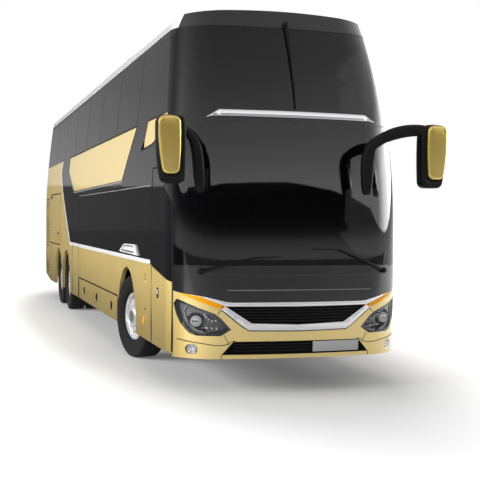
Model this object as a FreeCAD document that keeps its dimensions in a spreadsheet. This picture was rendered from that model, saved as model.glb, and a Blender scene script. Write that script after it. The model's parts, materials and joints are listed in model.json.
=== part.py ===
import FreeCAD, Part
import Sketcher
import math
import os

# Three-axle double-deck touring coach with a front door and a middle door on its right side.
# It stands along Y with its nose towards -Y. X runs to its left and Z up, from the ground under its middle.
# A station is a distance behind the nose. Lengths are millimetres and angles are degrees.

Vector = FreeCAD.Vector
doc = FreeCAD.newDocument("coach")
sheet = doc.addObject("Spreadsheet::Sheet", "Sizes")

SIZES = {
    # whole body
    "bodyLength": 14000,
    "bodyWidth": 2550,
    "bodyHeight": 4000,
    "mirrorReach": 260,
    "skirtHeight": 375,
    "bumperHeight": 345,
    "wallThickness": 50,
    "skinThickness": 8,
    "seatGap": 0.3,
    "bowRadius": 5000,
    "noseCornerRadius": 550,
    "tailBowRadius": 9000,
    "tailCornerRadius": 260,
    "noseLean": 640,
    "noseLeanHeight": 1000,
    "noseTuck": 20,
    "tumbleDepth": 135,
    "tumbleHeight": 2000,
    "tailLean": 90,
    "tailLeanHeight": 1600,
    "riseStart": 12670,
    "riseDepth": 125,
    "roofCrownRadius": 12500,
    "roofEdgeRadius": 160,
    "roofEdgeInset": 125,
    # seams of the outer skin
    "noseSeam": 400,
    "tailSeam": 13560,
    "capSeam": 900,
    "beltHeight": 1245,
    "upperBelt": 2880,
    "gutterHeight": 3750,
    "roofSeam": 3810,
    "railTop": 3905,
    "windscreenBase": 1285,
    "deckSeam": 2776,
    # openings in the sides
    "doorGap": 7,
    "frontDoorStart": 410,
    "frontDoorWidth": 900,
    "frontDoorTop": 2310,
    "midDoorStart": 7740,
    "midDoorWidth": 870,
    "midDoorTop": 2130,
    "skirtFlapStart": 3600,
    "skirtFlapEnd": 7650,
    "skirtFlapTop": 720,
    "bootFlapStart": 10700,
    "bootFlapEnd": 12780,
    "bootFlapBase": 1210,
    "bootFlapTop": 2240,
    "lidHalfWidth": 950,
    "lidBase": 640,
    "lidTop": 1780,
    "lidLouvres": 8,
    "louvrePitch": 60,
    "louvreHeight": 22,
    "hatchLength": 900,
    "hatchWidth": 700,
    "hatchGroove": 12,
    "flapHinges": 3,
    "hingeLength": 120,
    "pillarWidth": 90,
    "upperPanes": 8,
    "lowerPanes": 4,
    "windowMargin": 55,
    "lowerWindowTop": 2140,
    # axles and wheels
    "frontOverhang": 2900,
    "wheelbase": 6700,
    "tagSpacing": 1350,
    "tyreRadius": 520,
    "tyreWidth": 300,
    "tyreFace": 1235,
    "twinSpacing": 334,
    "beadRadius": 286,
    "rimWidth": 210,
    "rimWall": 12,
    "hubRadius": 115,
    "spindleRadius": 45,
    "shaftRadius": 60,
    "bearingGap": 0.3,
    "handHoleRadius": 21,
    "handHoleCircle": 228,
    "handHoles": 10,
    "kingpinOffset": 130,
    "kingpinRadius": 34,
    "kingpinHalf": 150,
    "wishboneThickness": 40,
    "wishboneWidth": 80,
    "steerAtRest": 12,
    "archRadius": 630,
    "archHeight": 510,
    "housingWall": 12,
    "housingInner": 560,
    "linerRadius": 618,
    # floors and frame
    "floorHeight": 415,
    "floorThickness": 40,
    "deckHeight": 2260,
    "deckThickness": 60,
    "bulkheadStation": 8750,
    "wellStart": 6300,
    "wellEnd": 8000,
    "wellInner": 500,
    "wellOuter": 1120,
    "stairSteps": 8,
    "stairTread": 205,
    "railHeight": 760,
    "railDepth": 160,
    "railHalfSpan": 430,
    "railWidth": 80,
    "engineLength": 1450,
    "engineHeight": 560,
    # seats
    "seatPitch": 820,
    "upperRows": 13,
    "lowerRows": 4,
    "firstUpperRow": 2100,
    "firstLowerRow": 4300,
    "benchWidth": 900,
    "cushionLength": 460,
    "cushionHeight": 450,
    "backThickness": 110,
    "backHeight": 1130,
    "seatWallGap": 20,
    # door arms
    "armRadius": 500,
    "armLead": 2,
    "armTube": 20,
    "armInset": 45,
    "armJamb": 85,
    "armCrank": 120,
    "armHeight": 560,
    "doorBorder": 90,
    "sillGap": 13,
    "wiperRadius": 11,
}

for number, (name, amount) in enumerate(SIZES.items(), start=1):
    sheet.set("A%d" % number, name)
    sheet.set("B%d" % number, str(amount))
    sheet.setAlias("B%d" % number, name)
doc.recompute()


def size(name):
    return float(sheet.get(name))


NOSE = -size("bodyLength") / 2 + size("mirrorReach") / 2
FRONT_AXLE = size("frontOverhang")
DRIVE_AXLE = FRONT_AXLE + size("wheelbase")
TAG_AXLE = DRIVE_AXLE + size("tagSpacing")
RIGHT = -1
LEFT = 1
BIG = 3 * size("bodyWidth")
nodes = []


def at(station):
    """World Y of a station."""
    return NOSE + station


def keep(name, shape):
    """Adds a node whose shape is worked out from the sheet."""
    feature = doc.addObject("Part::Feature", name)
    feature.Label = name
    feature.Shape = shape
    nodes.append(feature)
    return feature


def adopt(feature, name):
    """Makes a feature of the document a node."""
    feature.Label = name
    nodes.append(feature)
    return feature


def bind(feature, **sizes):
    for name, text in sizes.items():
        feature.setExpression(name, text)


def joined(solids):
    return Part.makeCompound(list(solids))


def fused(solids):
    whole = solids[0].fuse(list(solids[1:]))
    return whole.removeSplitter()


def block(x0, x1, s0, s1, z0, z1):
    """Box between two X values, two stations and two heights."""
    low_x, high_x = min(x0, x1), max(x0, x1)
    return Part.makeBox(high_x - low_x, s1 - s0, z1 - z0, Vector(low_x, at(s0), z0))


def side_prism(corners, x0, x1):
    """Prism along X over an outline of stations and heights."""
    low_x, high_x = min(x0, x1), max(x0, x1)
    points = [Vector(low_x, at(station), height) for station, height in corners]
    outline = Part.makePolygon(points + [points[0]])
    return Part.Face(outline).extrude(Vector(high_x - low_x, 0, 0))


def front_prism(corners, s0, s1):
    """Prism along Y over an outline of X values and heights."""
    points = [Vector(x, at(s0), height) for x, height in corners]
    outline = Part.makePolygon(points + [points[0]])
    return Part.Face(outline).extrude(Vector(0, s1 - s0, 0))


def mirrored(shape):
    return shape.mirror(Vector(0, 0, 0), Vector(1, 0, 0))


# Form of the body: half width, nose and tail as functions of height

def half_width(height):
    rise = max(0.0, height - size("tumbleHeight")) / (size("gutterHeight") - size("tumbleHeight"))
    return size("bodyWidth") / 2 - size("tumbleDepth") * rise ** 1.6


def nose_setback(height):
    foot = size("noseLeanHeight")
    tuck = max(0.0, foot - height) / (foot - size("bumperHeight"))
    lean = max(0.0, height - foot) / (size("bodyHeight") - foot)
    return size("noseTuck") * tuck ** 2 + size("noseLean") * lean ** 2.7


def tail_setback(height):
    rise = max(0.0, height - size("tailLeanHeight")) / (size("bodyHeight") - size("tailLeanHeight"))
    return size("tailLean") * rise ** 1.5


def corner_centre(bow, corner, half):
    """Distance from the bow's tip to the centre of a corner arc, along Y."""
    return bow - math.sqrt((bow - corner) ** 2 - (half - corner) ** 2)


def nose_line(x, height, inset=0.0):
    """World Y of the nose surface at an X and a height."""
    bow = size("bowRadius") - inset
    corner = size("noseCornerRadius") - inset
    half = half_width(height) - inset
    tip = NOSE + nose_setback(height) + inset
    depth = corner_centre(bow, corner, half)
    meet = bow * (half - corner) / (bow - corner)
    if abs(x) <= meet:
        return tip + bow - math.sqrt(bow ** 2 - x ** 2)
    reach = min(abs(x) - (half - corner), corner)
    return tip + depth - math.sqrt(corner ** 2 - reach ** 2)


def plan_section(height, inset):
    """Outline of the body at one height: a bowed nose and tail with round corners and straight sides."""
    half = half_width(height) - inset
    ends = []
    for side, tip, bow, corner in (
        (-1, NOSE + nose_setback(height) + inset, size("bowRadius") - inset, size("noseCornerRadius") - inset),
        (1, NOSE + size("bodyLength") - tail_setback(height) - inset, size("tailBowRadius") - inset,
         size("tailCornerRadius") - inset),
    ):
        centre = Vector(half - corner, tip - side * corner_centre(bow, corner, half), height)
        bow_centre = Vector(0, tip - side * bow, height)
        meet = bow_centre + (centre - bow_centre).normalize() * bow
        turn = ((meet - centre).normalize() + Vector(1, 0, 0)).normalize()
        middle = centre + turn * corner
        ends.append((Vector(0, tip, height), meet, middle, Vector(half, centre.y, height)))
    (nose_tip, nose_meet, nose_middle, nose_side), (tail_tip, tail_meet, tail_middle, tail_side) = ends

    def across(point):
        return Vector(-point.x, point.y, point.z)

    curves = [
        Part.Arc(across(nose_meet), nose_tip, nose_meet),
        Part.Arc(nose_meet, nose_middle, nose_side),
        Part.LineSegment(nose_side, tail_side),
        Part.Arc(tail_side, tail_middle, tail_meet),
        Part.Arc(tail_meet, tail_tip, across(tail_meet)),
        Part.Arc(across(tail_meet), across(tail_middle), across(tail_side)),
        Part.LineSegment(across(tail_side), across(nose_side)),
        Part.Arc(across(nose_side), across(nose_middle), across(nose_meet)),
    ]
    return Part.Wire([curve.toShape() for curve in curves])


def roof_form(inset):
    """Prism along Y with a crowned roof and round roof edges."""
    edge = size("roofEdgeRadius")
    crown = size("roofCrownRadius")
    half = size("bodyWidth") / 2 - size("roofEdgeInset") - inset
    top = size("bodyHeight") - inset
    flat = half - edge
    shoulder = top - flat ** 2 / (2 * crown)
    start = at(-size("bodyLength") / 20)
    slant = edge * math.sqrt(0.5)
    low = -size("bodyHeight") / 40

    def point(x, height):
        return Vector(x, start, height)

    curves = [
        Part.LineSegment(point(-BIG, low), point(-BIG, shoulder - edge)),
        Part.LineSegment(point(-BIG, shoulder - edge), point(-half, shoulder - edge)),
        Part.Arc(point(-half, shoulder - edge), point(-flat - slant, shoulder - edge + slant), point(-flat, shoulder)),
        Part.Arc(point(-flat, shoulder), point(0, top), point(flat, shoulder)),
        Part.Arc(point(flat, shoulder), point(flat + slant, shoulder - edge + slant), point(half, shoulder - edge)),
        Part.LineSegment(point(half, shoulder - edge), point(BIG, shoulder - edge)),
        Part.LineSegment(point(BIG, shoulder - edge), point(BIG, low)),
        Part.LineSegment(point(BIG, low), point(-BIG, low)),
    ]
    face = Part.Face(Part.Wire([curve.toShape() for curve in curves]))
    return face.extrude(Vector(0, size("bodyLength") * 1.1, 0))


def body_form(inset):
    """Solid bounded by the body's surface moved inwards by the inset."""
    base = size("bumperHeight")
    top = size("bodyHeight") * 1.02
    levels = 10
    heights = [base + (top - base) * step / (levels - 1) for step in range(levels)]
    loft = Part.makeLoft([plan_section(height, inset) for height in heights], True, False)
    return loft.common(roof_form(inset))


outer = body_form(0)
inside = body_form(size("skinThickness"))
cavity = body_form(size("wallThickness"))
room = body_form(size("wallThickness") + size("seatGap"))
proud = body_form(-size("skinThickness"))
whole_wall = outer.cut(cavity)
whole_skin = outer.cut(inside)
whole_frame = inside.cut(cavity)


# Cutting zones. The seam between nose and sides leans back with the nose.

def lean_curve(station, x, z0, z1):
    """Curve up the body that keeps its distance from the leaning nose."""
    steps = 6
    heights = [z0 + (z1 - z0) * step / steps for step in range(steps + 1)]
    curve = Part.BSplineCurve()
    curve.interpolate([Vector(x, at(station + nose_setback(height)), height) for height in heights])
    return curve.toShape()


def lean_zone(x0, x1, s0, s1, z0, z1, front_leans, rear_leans):
    """Prism along X between two heights, whose front or rear edge may lean with the nose."""
    low_x, high_x = min(x0, x1), max(x0, x1)

    def edge(station, leans):
        if leans:
            return lean_curve(station, low_x, z0, z1)
        return Part.makeLine(Vector(low_x, at(station), z0), Vector(low_x, at(station), z1))

    front = edge(s0, front_leans)
    rear = edge(s1, rear_leans)
    ends = [curve.valueAt(place) for curve in (front, rear) for place in (curve.FirstParameter, curve.LastParameter)]
    outline = Part.Wire(Part.__sortEdges__([front, Part.makeLine(ends[1], ends[3]), rear,
                                            Part.makeLine(ends[2], ends[0])]))
    return Part.Face(outline).extrude(Vector(high_x - low_x, 0, 0))


# Side pieces are cut on the left. Those of the right side are mirrored when they are finished.

SIDE_START = size("bodyWidth") / 5
SIDE_END = BIG / 2


def side_cut(s0, s1, z0, z1):
    """Cutter through the side wall."""
    return block(SIDE_START, SIDE_END, s0, s1, z0, z1)


class Zone:
    """The body's layers within one cutting zone: whole wall, outer skin and the frame layer behind it."""

    def __init__(self, cutter):
        self.wall = whole_wall.common(cutter)
        self.skin = whole_skin.common(cutter)
        self.frame = whole_frame.common(cutter)


above_skirt = block(SIDE_START, SIDE_END, 0, size("bodyLength"), size("skirtHeight"), size("bodyHeight"))
side_zone = Zone(lean_zone(SIDE_START, SIDE_END, size("noseSeam"), size("tailSeam"), size("bumperHeight"),
                           size("roofSeam"), True, False).common(above_skirt))
nose_zone = Zone(lean_zone(-BIG / 2, BIG / 2, -300, size("noseSeam"), size("bumperHeight"), size("roofSeam"),
                           False, True))
tail_end = size("bodyLength") + 100
tail_zone = Zone(block(-BIG / 2, BIG / 2, size("tailSeam"), tail_end, size("skirtHeight"), size("roofSeam")))
roof_zone = Zone(block(-BIG / 2, BIG / 2, -100, tail_end, size("roofSeam"), size("bodyHeight") + 50))


def arch_cut(station):
    """Round wheel opening through the side wall, open at the bottom."""
    radius = size("archRadius")
    centre = Vector(SIDE_START, at(station), size("archHeight"))
    disc = Part.makeCylinder(radius, SIDE_END - SIDE_START, centre, Vector(1, 0, 0))
    return disc.fuse(side_cut(station - radius, station + radius, 0, size("archHeight")))


# Outlines of the coloured fields of a side, as stations and heights

def slant_edge(shift=0.0):
    """Rear edge of the dark field from the belt up to the upper belt."""
    return [(9060 + shift, size("beltHeight")), (10630 + shift, 2500), (10790 + shift, 2650),
            (10640 + shift, size("upperBelt"))]


def dark_field():
    end = size("tailSeam") + 100
    return ([(0, size("beltHeight"))] + slant_edge()
            + [(end, size("upperBelt")), (end, size("roofSeam") + 50), (0, size("roofSeam") + 50)])


def swoosh_field():
    tip = size("frontDoorStart") + size("frontDoorWidth") + 60
    belt = size("beltHeight")
    inner_edge = list(reversed(slant_edge(-70)))
    inner_edge[-1] = (inner_edge[-1][0], belt + 62)
    return [(tip, belt + 22), (tip + 90, belt)] + slant_edge() + inner_edge + [(tip + 40, belt + 48)]


def mid_panel_field():
    return [(2480, size("upperBelt")), (3350, 2240), (8450, 2220), (9410, 2620), (9410, 2720),
            (9340, size("upperBelt"))]


def wing_field():
    top = size("upperBelt")
    return [(710, top), (750, 2780), (1280, 2750), (1110, 2650), (1470, 2590), (2120, 2560), (1920, 2680),
            (1780, top)]


def door_zone(start, width, top, leans, gap):
    """Prism of a door, or of its opening when a gap is given."""
    return lean_zone(SIDE_START, SIDE_END, start - gap, start + width + gap, size("skirtHeight") - 4 * gap, top + gap,
                     leans, False)


def window_row(first, last, panes, z0, z1):
    """Openings between pillars."""
    pitch = (last - first) / panes
    half_pillar = size("pillarWidth") / 2
    return [side_cut(first + pitch * index + half_pillar, first + pitch * (index + 1) - half_pillar, z0, z1)
            for index in range(panes)]


def boot_zone(gap):
    return side_cut(size("bootFlapStart") - gap, size("bootFlapEnd") + gap, size("bootFlapBase") - gap,
                    size("bootFlapTop") + gap)


def skirt_zone(gap):
    return side_cut(size("skirtFlapStart") - gap, size("skirtFlapEnd") + gap, size("skirtHeight") - 3 * gap,
                    size("skirtFlapTop") + gap)


def hinge_places(first, last):
    """Centres of the hinges along a flap's top edge."""
    count = int(size("flapHinges"))
    return [first + (last - first) * (index + 0.5) / count for index in range(count)]


def side_hinges(first, last, top):
    """Hinge lugs of the wall that reach down behind the skin to the flap's top edge."""
    face = half_width(top + size("doorGap")) - 1.5 * size("skinThickness")
    half = size("hingeLength") / 2
    return [block(SIDE_START, face, station - half, station + half, top + size("seatGap"), top + BIG)
            for station in hinge_places(first, last)]


DOORS = [
    ("front_door", size("frontDoorStart"), size("frontDoorWidth"), size("frontDoorTop"), True),
    ("mid_door", size("midDoorStart"), size("midDoorWidth"), size("midDoorTop"), False),
]


def side_openings(side):
    """Cutters for what opens or turns in one side."""
    gap = size("doorGap")
    cuts = [arch_cut(station) for station in (FRONT_AXLE, DRIVE_AXLE, TAG_AXLE)]
    cuts.append(boot_zone(gap).cut(side_hinges(size("bootFlapStart"), size("bootFlapEnd"), size("bootFlapTop"))))
    cuts.append(skirt_zone(gap).cut(side_hinges(size("skirtFlapStart"), size("skirtFlapEnd"), size("skirtFlapTop"))))
    if side == RIGHT:
        cuts += [door_zone(start, width, top, leans, gap) for name, start, width, top, leans in DOORS]
    return cuts


def side_windows(side):
    margin = size("windowMargin")
    low = size("beltHeight") + margin + 60
    high = size("lowerWindowTop")
    first_upper = size("noseSeam") + 500
    cuts = window_row(first_upper, size("tailSeam") - 100, int(size("upperPanes")), size("upperBelt") + margin,
                      size("gutterHeight") - margin)
    if side == RIGHT:
        first = size("frontDoorStart") + size("frontDoorWidth") + margin
        last = size("midDoorStart") - margin
        cuts += window_row(first, last, int(size("lowerPanes")), low, high)
    else:
        first = size("noseSeam") + margin
        cuts += window_row(first, size("bulkheadStation"), int(size("lowerPanes")) + 1, low, high)
    return cuts


def solids_of(shape):
    """The shape's solids, without crumbs left by a cutter."""
    return [solid for solid in shape.Solids if solid.BoundBox.DiagonalLength > 30]


def tidy(shape):
    return joined(solids_of(shape))


def on_side(side, solids):
    """Solids cut on the left, for the side they are meant for."""
    return [mirrored(solid) for solid in solids] if side == RIGHT else solids


side_frames = []
gold_panels = []
swooshes = []
mid_panels = []
side_panes = []
rise_top = size("skirtHeight") + size("riseDepth")
rise_line = [(size("riseStart"), 0), (size("riseStart"), size("skirtHeight")), (size("bodyLength"), rise_top),
             (tail_end, rise_top), (tail_end, 0)]
rise_cut = side_prism(rise_line, -BIG / 2, BIG / 2)
dark = side_prism(dark_field(), SIDE_START, SIDE_END)
swoosh = side_prism(swoosh_field(), SIDE_START, SIDE_END)
panels = [side_prism(mid_panel_field(), SIDE_START, SIDE_END), side_prism(wing_field(), SIDE_START, SIDE_END)]
gutter = side_cut(0, tail_end, size("gutterHeight"), size("roofSeam") + 50)
dark_frame = side_zone.frame.common(dark).fuse(side_zone.wall.common(gutter)).removeSplitter()
whole_field = side_zone.skin.common(dark).cut(gutter)
for side in (RIGHT, LEFT):
    openings = side_openings(side) + [rise_cut]
    side_frames += on_side(side, solids_of(dark_frame.cut(openings + side_windows(side))))
    gold_panels += on_side(side, solids_of(side_zone.wall.cut([dark] + openings)))
    field = whole_field.cut(openings)
    swooshes += on_side(side, solids_of(field.common(swoosh)))
    for panel in panels:
        mid_panels += on_side(side, solids_of(field.common(panel)))
    side_panes += on_side(side, solids_of(field.cut([swoosh] + panels)))

# Tail: gold wall with the engine lid's opening, and the dark band round the upper deck


def tail_part(x0, x1, z0, z1):
    return block(x0, x1, size("tailSeam") - 50, tail_end, z0, z1)


low_tail = tail_part(-BIG / 2, BIG / 2, 0, size("upperBelt"))
high_tail = tail_part(-BIG / 2, BIG / 2, size("upperBelt"), size("roofSeam") + 50)
tail_gutter = tail_part(-BIG / 2, BIG / 2, size("gutterHeight"), size("roofSeam") + 50)
lid_gap = size("doorGap")
lid_start = size("bodyLength") - 300
lid_hole = block(-size("lidHalfWidth") - lid_gap, size("lidHalfWidth") + lid_gap, lid_start, tail_end,
                 size("lidBase") - lid_gap, size("lidTop") + lid_gap)
lid_hinges = [block(x - size("hingeLength") / 2, x + size("hingeLength") / 2, lid_start,
                    size("bodyLength") - 2 * size("skinThickness") - x ** 2 / (2 * size("tailBowRadius")),
                    size("lidTop") + size("seatGap"), size("lidTop") + size("wallThickness"))
              for x in hinge_places(-size("lidHalfWidth"), size("lidHalfWidth"))]
lid_hole = lid_hole.cut(lid_hinges)
lid_form = block(-size("lidHalfWidth"), size("lidHalfWidth"), lid_start, tail_end, size("lidBase"), size("lidTop"))
rear_hole = tail_part(-900, 900, size("upperBelt") + size("windowMargin"), size("gutterHeight") - size("windowMargin"))
lamp_strips = [block(side * 1010, side * BIG / 2, size("bodyLength") - 180, tail_end, 1000, 1900)
               for side in (RIGHT, LEFT)]
low_tail_wall = tail_zone.wall.common(low_tail)
tail_frame = tail_zone.frame.common(high_tail).fuse(tail_zone.wall.common(tail_gutter)).removeSplitter()
side_frames += solids_of(tail_frame.cut(rear_hole))

keep("side_frames", joined(side_frames))
keep("gold_panels", joined(gold_panels))
keep("swooshes", joined(swooshes))
keep("mid_panels", joined(mid_panels))
keep("side_panes", joined(side_panes))
keep("rear_wall", tidy(low_tail_wall.cut([lid_hole, rise_cut] + lamp_strips)))
keep("rear_window", tidy(tail_zone.skin.common(high_tail).cut(tail_gutter)))
keep("rear_lamps", joined([piece for strip in lamp_strips for piece in solids_of(low_tail_wall.common(strip))]))

# The lid has a recess for a plate and a row of louvres above it, both as deep as the skin

plate_recess = tail_part(-270, 270, 820, 950)
louvre_start = 1140
louvres = [tail_part(-650, 650, louvre_start + size("louvrePitch") * index,
                     louvre_start + size("louvrePitch") * index + size("louvreHeight"))
           for index in range(int(size("lidLouvres")))]
lid_recesses = [tail_zone.skin.common(cutter) for cutter in [plate_recess] + louvres]
keep("engine_lid", tidy(low_tail_wall.common(lid_form).cut(lid_recesses)))

# Roof, its front cap and the pale rails along its edges

cap_zone = block(-BIG / 2, BIG / 2, -100, size("capSeam"), size("roofSeam") - 10, size("bodyHeight") + 50)
rail_zones = [block(side * 1000, side * BIG / 2, size("capSeam"), size("tailSeam"), size("roofSeam"), size("railTop"))
              for side in (RIGHT, LEFT)]
keep("roof_rails", joined([piece for zone in rail_zones for piece in solids_of(roof_zone.skin.common(zone))]))
rail_cuts = [roof_zone.frame.common(zone) for zone in rail_zones]
above_rails = [roof_zone.wall.cut([cap_zone] + rail_zones)] + rail_cuts


def hatch_groove(station):
    """Groove in the roof's skin round a hatch."""
    length = size("hatchLength") / 2
    width = size("hatchWidth") / 2
    groove = size("hatchGroove")
    top = size("bodyHeight") + 50
    whole = block(-width, width, station - length, station + length, size("roofSeam"), top)
    middle = block(groove - width, width - groove, station - length + groove, station + length - groove,
                   size("roofSeam"), top)
    return roof_zone.skin.common(whole.cut(middle))


keep("roof_panel", tidy(fused(above_rails).cut([hatch_groove(station) for station in (4200, 9800)])))
keep("roof_cap", tidy(roof_zone.wall.common(cap_zone)))

# Nose: windscreens and their frame, black mask, bumper, chrome, grilles and lamps


def nose_slice(z0, z1):
    return block(-BIG / 2, BIG / 2, -300, 2 * size("capSeam"), z0, z1)


def nose_prism(outline):
    return front_prism(outline, -300, 2 * size("capSeam"))


def whole_outline(half_outline):
    """Closed outline symmetric about X = 0 from its left half, listed from its lowest to its highest point."""
    return half_outline + [(-x, height) for x, height in reversed(half_outline) if x > 0]


def nose_pair(outline):
    """Two prisms over an outline on the left and its mirror image."""
    prism = nose_prism(outline)
    return [prism, mirrored(prism)]


screen_gap = 2
screens = nose_slice(size("windscreenBase"), size("roofSeam") + 50)
low_screen_hole = nose_prism(whole_outline([(1090, size("windscreenBase") + 70), (1100, size("deckSeam") - 90)]))
high_screen_hole = nose_prism(whole_outline([(1050, size("deckSeam") + 130), (960, size("roofSeam") - 70)]))
keep("front_frame", tidy(nose_zone.frame.common(screens).cut([low_screen_hole, high_screen_hole])))
nose_glass = nose_zone.skin.common(screens)
deck_line = nose_slice(size("deckSeam") - screen_gap, size("deckSeam") + screen_gap)
keep("windscreens", tidy(nose_glass.cut(deck_line)))

headlamp_outline = [(808, 579), (1039, 580), (1104, 603), (1174, 693), (1209, 787), (1229, 893), (1207, 945),
                    (1027, 863), (869, 805), (811, 761), (703, 644)]
indicator_outline = [(736, 860), (860, 858), (1171, 978), (1155, 1004), (978, 962), (813, 916)]
chrome_half = [(0, 629), (528, 638), (597, 682), (800, 845), (975, 962), (975, 977), (760, 925), (700, 918), (0, 918)]
chrome_prism = nose_prism(whole_outline(chrome_half))
grille_prism = nose_prism(whole_outline([(0, 688), (500, 706), (730, 855), (765, 880), (0, 875)]))
intake_prism = nose_prism(whole_outline([(800, 387), (680, 522)]))
mask_edge = [(0, 918), (700, 918), (760, 925), (975, 977), (1167, 1003), (1400, 1070)]
mask_prism = nose_prism(whole_outline(mask_edge + [(1400, size("windscreenBase"))]))
fog_bores = [Part.makeCylinder(54, 400, Vector(side * 1080, at(-100), 440), Vector(0, 1, 0)) for side in (RIGHT, LEFT)]
headlamp_prisms = nose_pair(headlamp_outline)
indicator_prisms = nose_pair(indicator_outline)
low_nose_slice = nose_slice(0, size("windscreenBase"))
low_nose = nose_zone.wall.common(low_nose_slice)
low_recess = nose_zone.frame.common(low_nose_slice)
keep("front_mask", tidy(low_nose.common(mask_prism).cut(indicator_prisms)))
keep("front_bumper", tidy(low_nose.cut([mask_prism, chrome_prism, intake_prism] + headlamp_prisms + indicator_prisms
                                       + fog_bores)))
chrome_zone = chrome_prism.cut([grille_prism] + indicator_prisms + headlamp_prisms)
strip_zone = nose_prism([(-930, 2800), (-860, 2815), (860, 2815), (930, 2800), (800, 2880), (-800, 2880)])
chrome = proud.common(chrome_zone).cut(cavity)
chrome_strip = proud.common(strip_zone).common(nose_slice(0, 4000)).cut(outer)
front_half = block(-BIG / 2, BIG / 2, -400, size("capSeam"), 0, size("bodyHeight"))
keep("chrome_trim", joined(solids_of(chrome.common(front_half)) + solids_of(chrome_strip.common(front_half))))
grille_backs = [low_recess.common(prism).cut(indicator_prisms + headlamp_prisms)
                for prism in (grille_prism, intake_prism)]
keep("front_grilles", joined([solid for back in grille_backs for solid in solids_of(back)]))
keep("headlamps", joined([piece for cutter in headlamp_prisms + fog_bores
                          for piece in solids_of(low_nose.common(cutter))]))
keep("indicators", joined([piece for cutter in indicator_prisms for piece in solids_of(low_nose.common(cutter))]))

# Door arms: a pivot post by the front jamb and a cranked tube that carries the leaf


def rod(start, end, radius):
    way = end.sub(start)
    return Part.makeCylinder(radius, way.Length, start, way)


def arm_points(start):
    """Centres of the post and of the leaf's pivot, as X and Y."""
    lead = math.radians(size("armLead"))
    inner_face = half_width(size("floorHeight")) - size("wallThickness")
    post_x = -(inner_face - size("armInset"))
    post_y = at(start + size("armJamb"))
    return post_x, post_y, post_x + size("armRadius") * math.sin(lead), post_y + size("armRadius") * math.cos(lead)


def door_arm(start):
    tube = size("armTube")
    post_x, post_y, leaf_x, leaf_y = arm_points(start)
    height = size("armHeight")
    crank = size("armCrank")
    post = Part.makeCylinder(tube, height, Vector(post_x, post_y, size("floorHeight") + size("seatGap")))
    top = size("floorHeight") + height - tube
    corners = [Vector(post_x, post_y, top), Vector(post_x + crank, post_y + crank * 0.9, top),
               Vector(post_x + crank * 0.9, post_y + crank * 2.2, top), Vector(leaf_x, leaf_y, top)]
    parts = [post, Part.makeCylinder(tube, 2 * tube, Vector(leaf_x, leaf_y, top - tube))]
    for first, second in zip(corners, corners[1:]):
        parts.append(rod(first, second, tube * 0.8))
        parts.append(Part.makeSphere(tube * 0.8, second))
    return fused(parts)


# Doors and flaps, each as thick as the wall, cut from it inside its opening

for name, start, width, top, leans in DOORS:
    zone = door_zone(start, width, top, leans, 0)
    leaf = side_zone.wall.common(zone)
    if leans:
        glass_line = [(0, 1050), (start + width + 10, 1235), (start + width + 10, top + 10), (0, top + 10)]
    else:
        glass_line = [(start - 10, size("beltHeight")), (start + width + 10, size("beltHeight")),
                      (start + width + 10, top + 10), (start - 10, top + 10)]
    pane = side_zone.skin.common(zone).common(side_prism(glass_line, SIDE_START, SIDE_END))
    border = size("doorBorder")
    window = lean_zone(SIDE_START, SIDE_END, start + border, start + width - border, size("beltHeight") + border,
                       top - border, leans, False)
    post_x, post_y, leaf_x, leaf_y = arm_points(start)
    inner_face = half_width(size("floorHeight")) - size("wallThickness")
    arm_top = size("floorHeight") + size("armHeight")
    lug_reach = inner_face + 2 + leaf_x - size("armTube") - size("seatGap")
    lug = Part.makeBox(lug_reach, 60, 2 * size("armTube"),
                       Vector(inner_face + 2 - lug_reach, leaf_y - 30, arm_top - 2 * size("armTube")))
    keep(name, mirrored(tidy(leaf.cut([pane, window]).fuse(lug))))
    keep(name + "_glass", mirrored(tidy(pane)))
    keep(name + "_arm", door_arm(start))

boot_flap = tidy(side_zone.wall.common(boot_zone(0)))
skirt_flap = tidy(side_zone.wall.common(side_cut(size("skirtFlapStart"), size("skirtFlapEnd"), 0,
                                                 size("skirtFlapTop"))))
keep("boot_flap_left", boot_flap)
keep("boot_flap_right", mirrored(boot_flap))
keep("skirt_flap_left", skirt_flap)
keep("skirt_flap_right", mirrored(skirt_flap))

# Underframe: low floor with side sills, bulkhead, rear floor and rear rails


def slab(z0, z1, s0, s1):
    """Floor fitted between the inner faces of the walls."""
    return room.common(block(-BIG / 2, BIG / 2, s0, s1, z0, z1))


floor_base = size("floorHeight") - size("floorThickness")
floor_half = half_width(size("floorHeight")) - size("wallThickness") - size("sillGap")
boot_floor = size("archHeight") + size("linerRadius") + size("housingWall") + size("seatGap")
low_floor = slab(floor_base, size("floorHeight"), 100, size("bulkheadStation")).common(
    block(-floor_half, floor_half, 0, size("bulkheadStation"), 0, size("deckHeight")))
housing_half = size("archRadius") + size("housingWall")
housing_zone = [block(side * size("housingInner"), side * BIG / 2, FRONT_AXLE - housing_half,
                      FRONT_AXLE + housing_half, 0, size("floorHeight") + 10) for side in (RIGHT, LEFT)]
door_step = door_zone(size("frontDoorStart"), size("frontDoorWidth"), size("frontDoorTop"), True, size("sillGap"))
door_step = door_step.common(block(1150, BIG / 2, 0, 600, 0, size("frontDoorTop")))
low_floor = low_floor.cut(housing_zone + [mirrored(door_step)])
bulkhead = slab(floor_base, size("deckHeight") - size("deckThickness") - size("seatGap"), size("bulkheadStation"),
                size("bulkheadStation") + 40)
bulkhead = bulkhead.cut([block(side * size("housingInner"), side * BIG / 2, size("bulkheadStation") - 10,
                               size("bulkheadStation") + 60, 0, boot_floor) for side in (RIGHT, LEFT)])
rear_floor = slab(boot_floor, boot_floor + size("floorThickness"), size("bulkheadStation"), size("bodyLength") - 130)
rails = [block(side * (size("railHalfSpan") - size("railWidth") / 2),
               side * (size("railHalfSpan") + size("railWidth") / 2), size("bulkheadStation") + 40,
               size("bodyLength") - 300, size("railHeight") - size("railDepth"), size("railHeight"))
         for side in (RIGHT, LEFT)]
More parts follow.
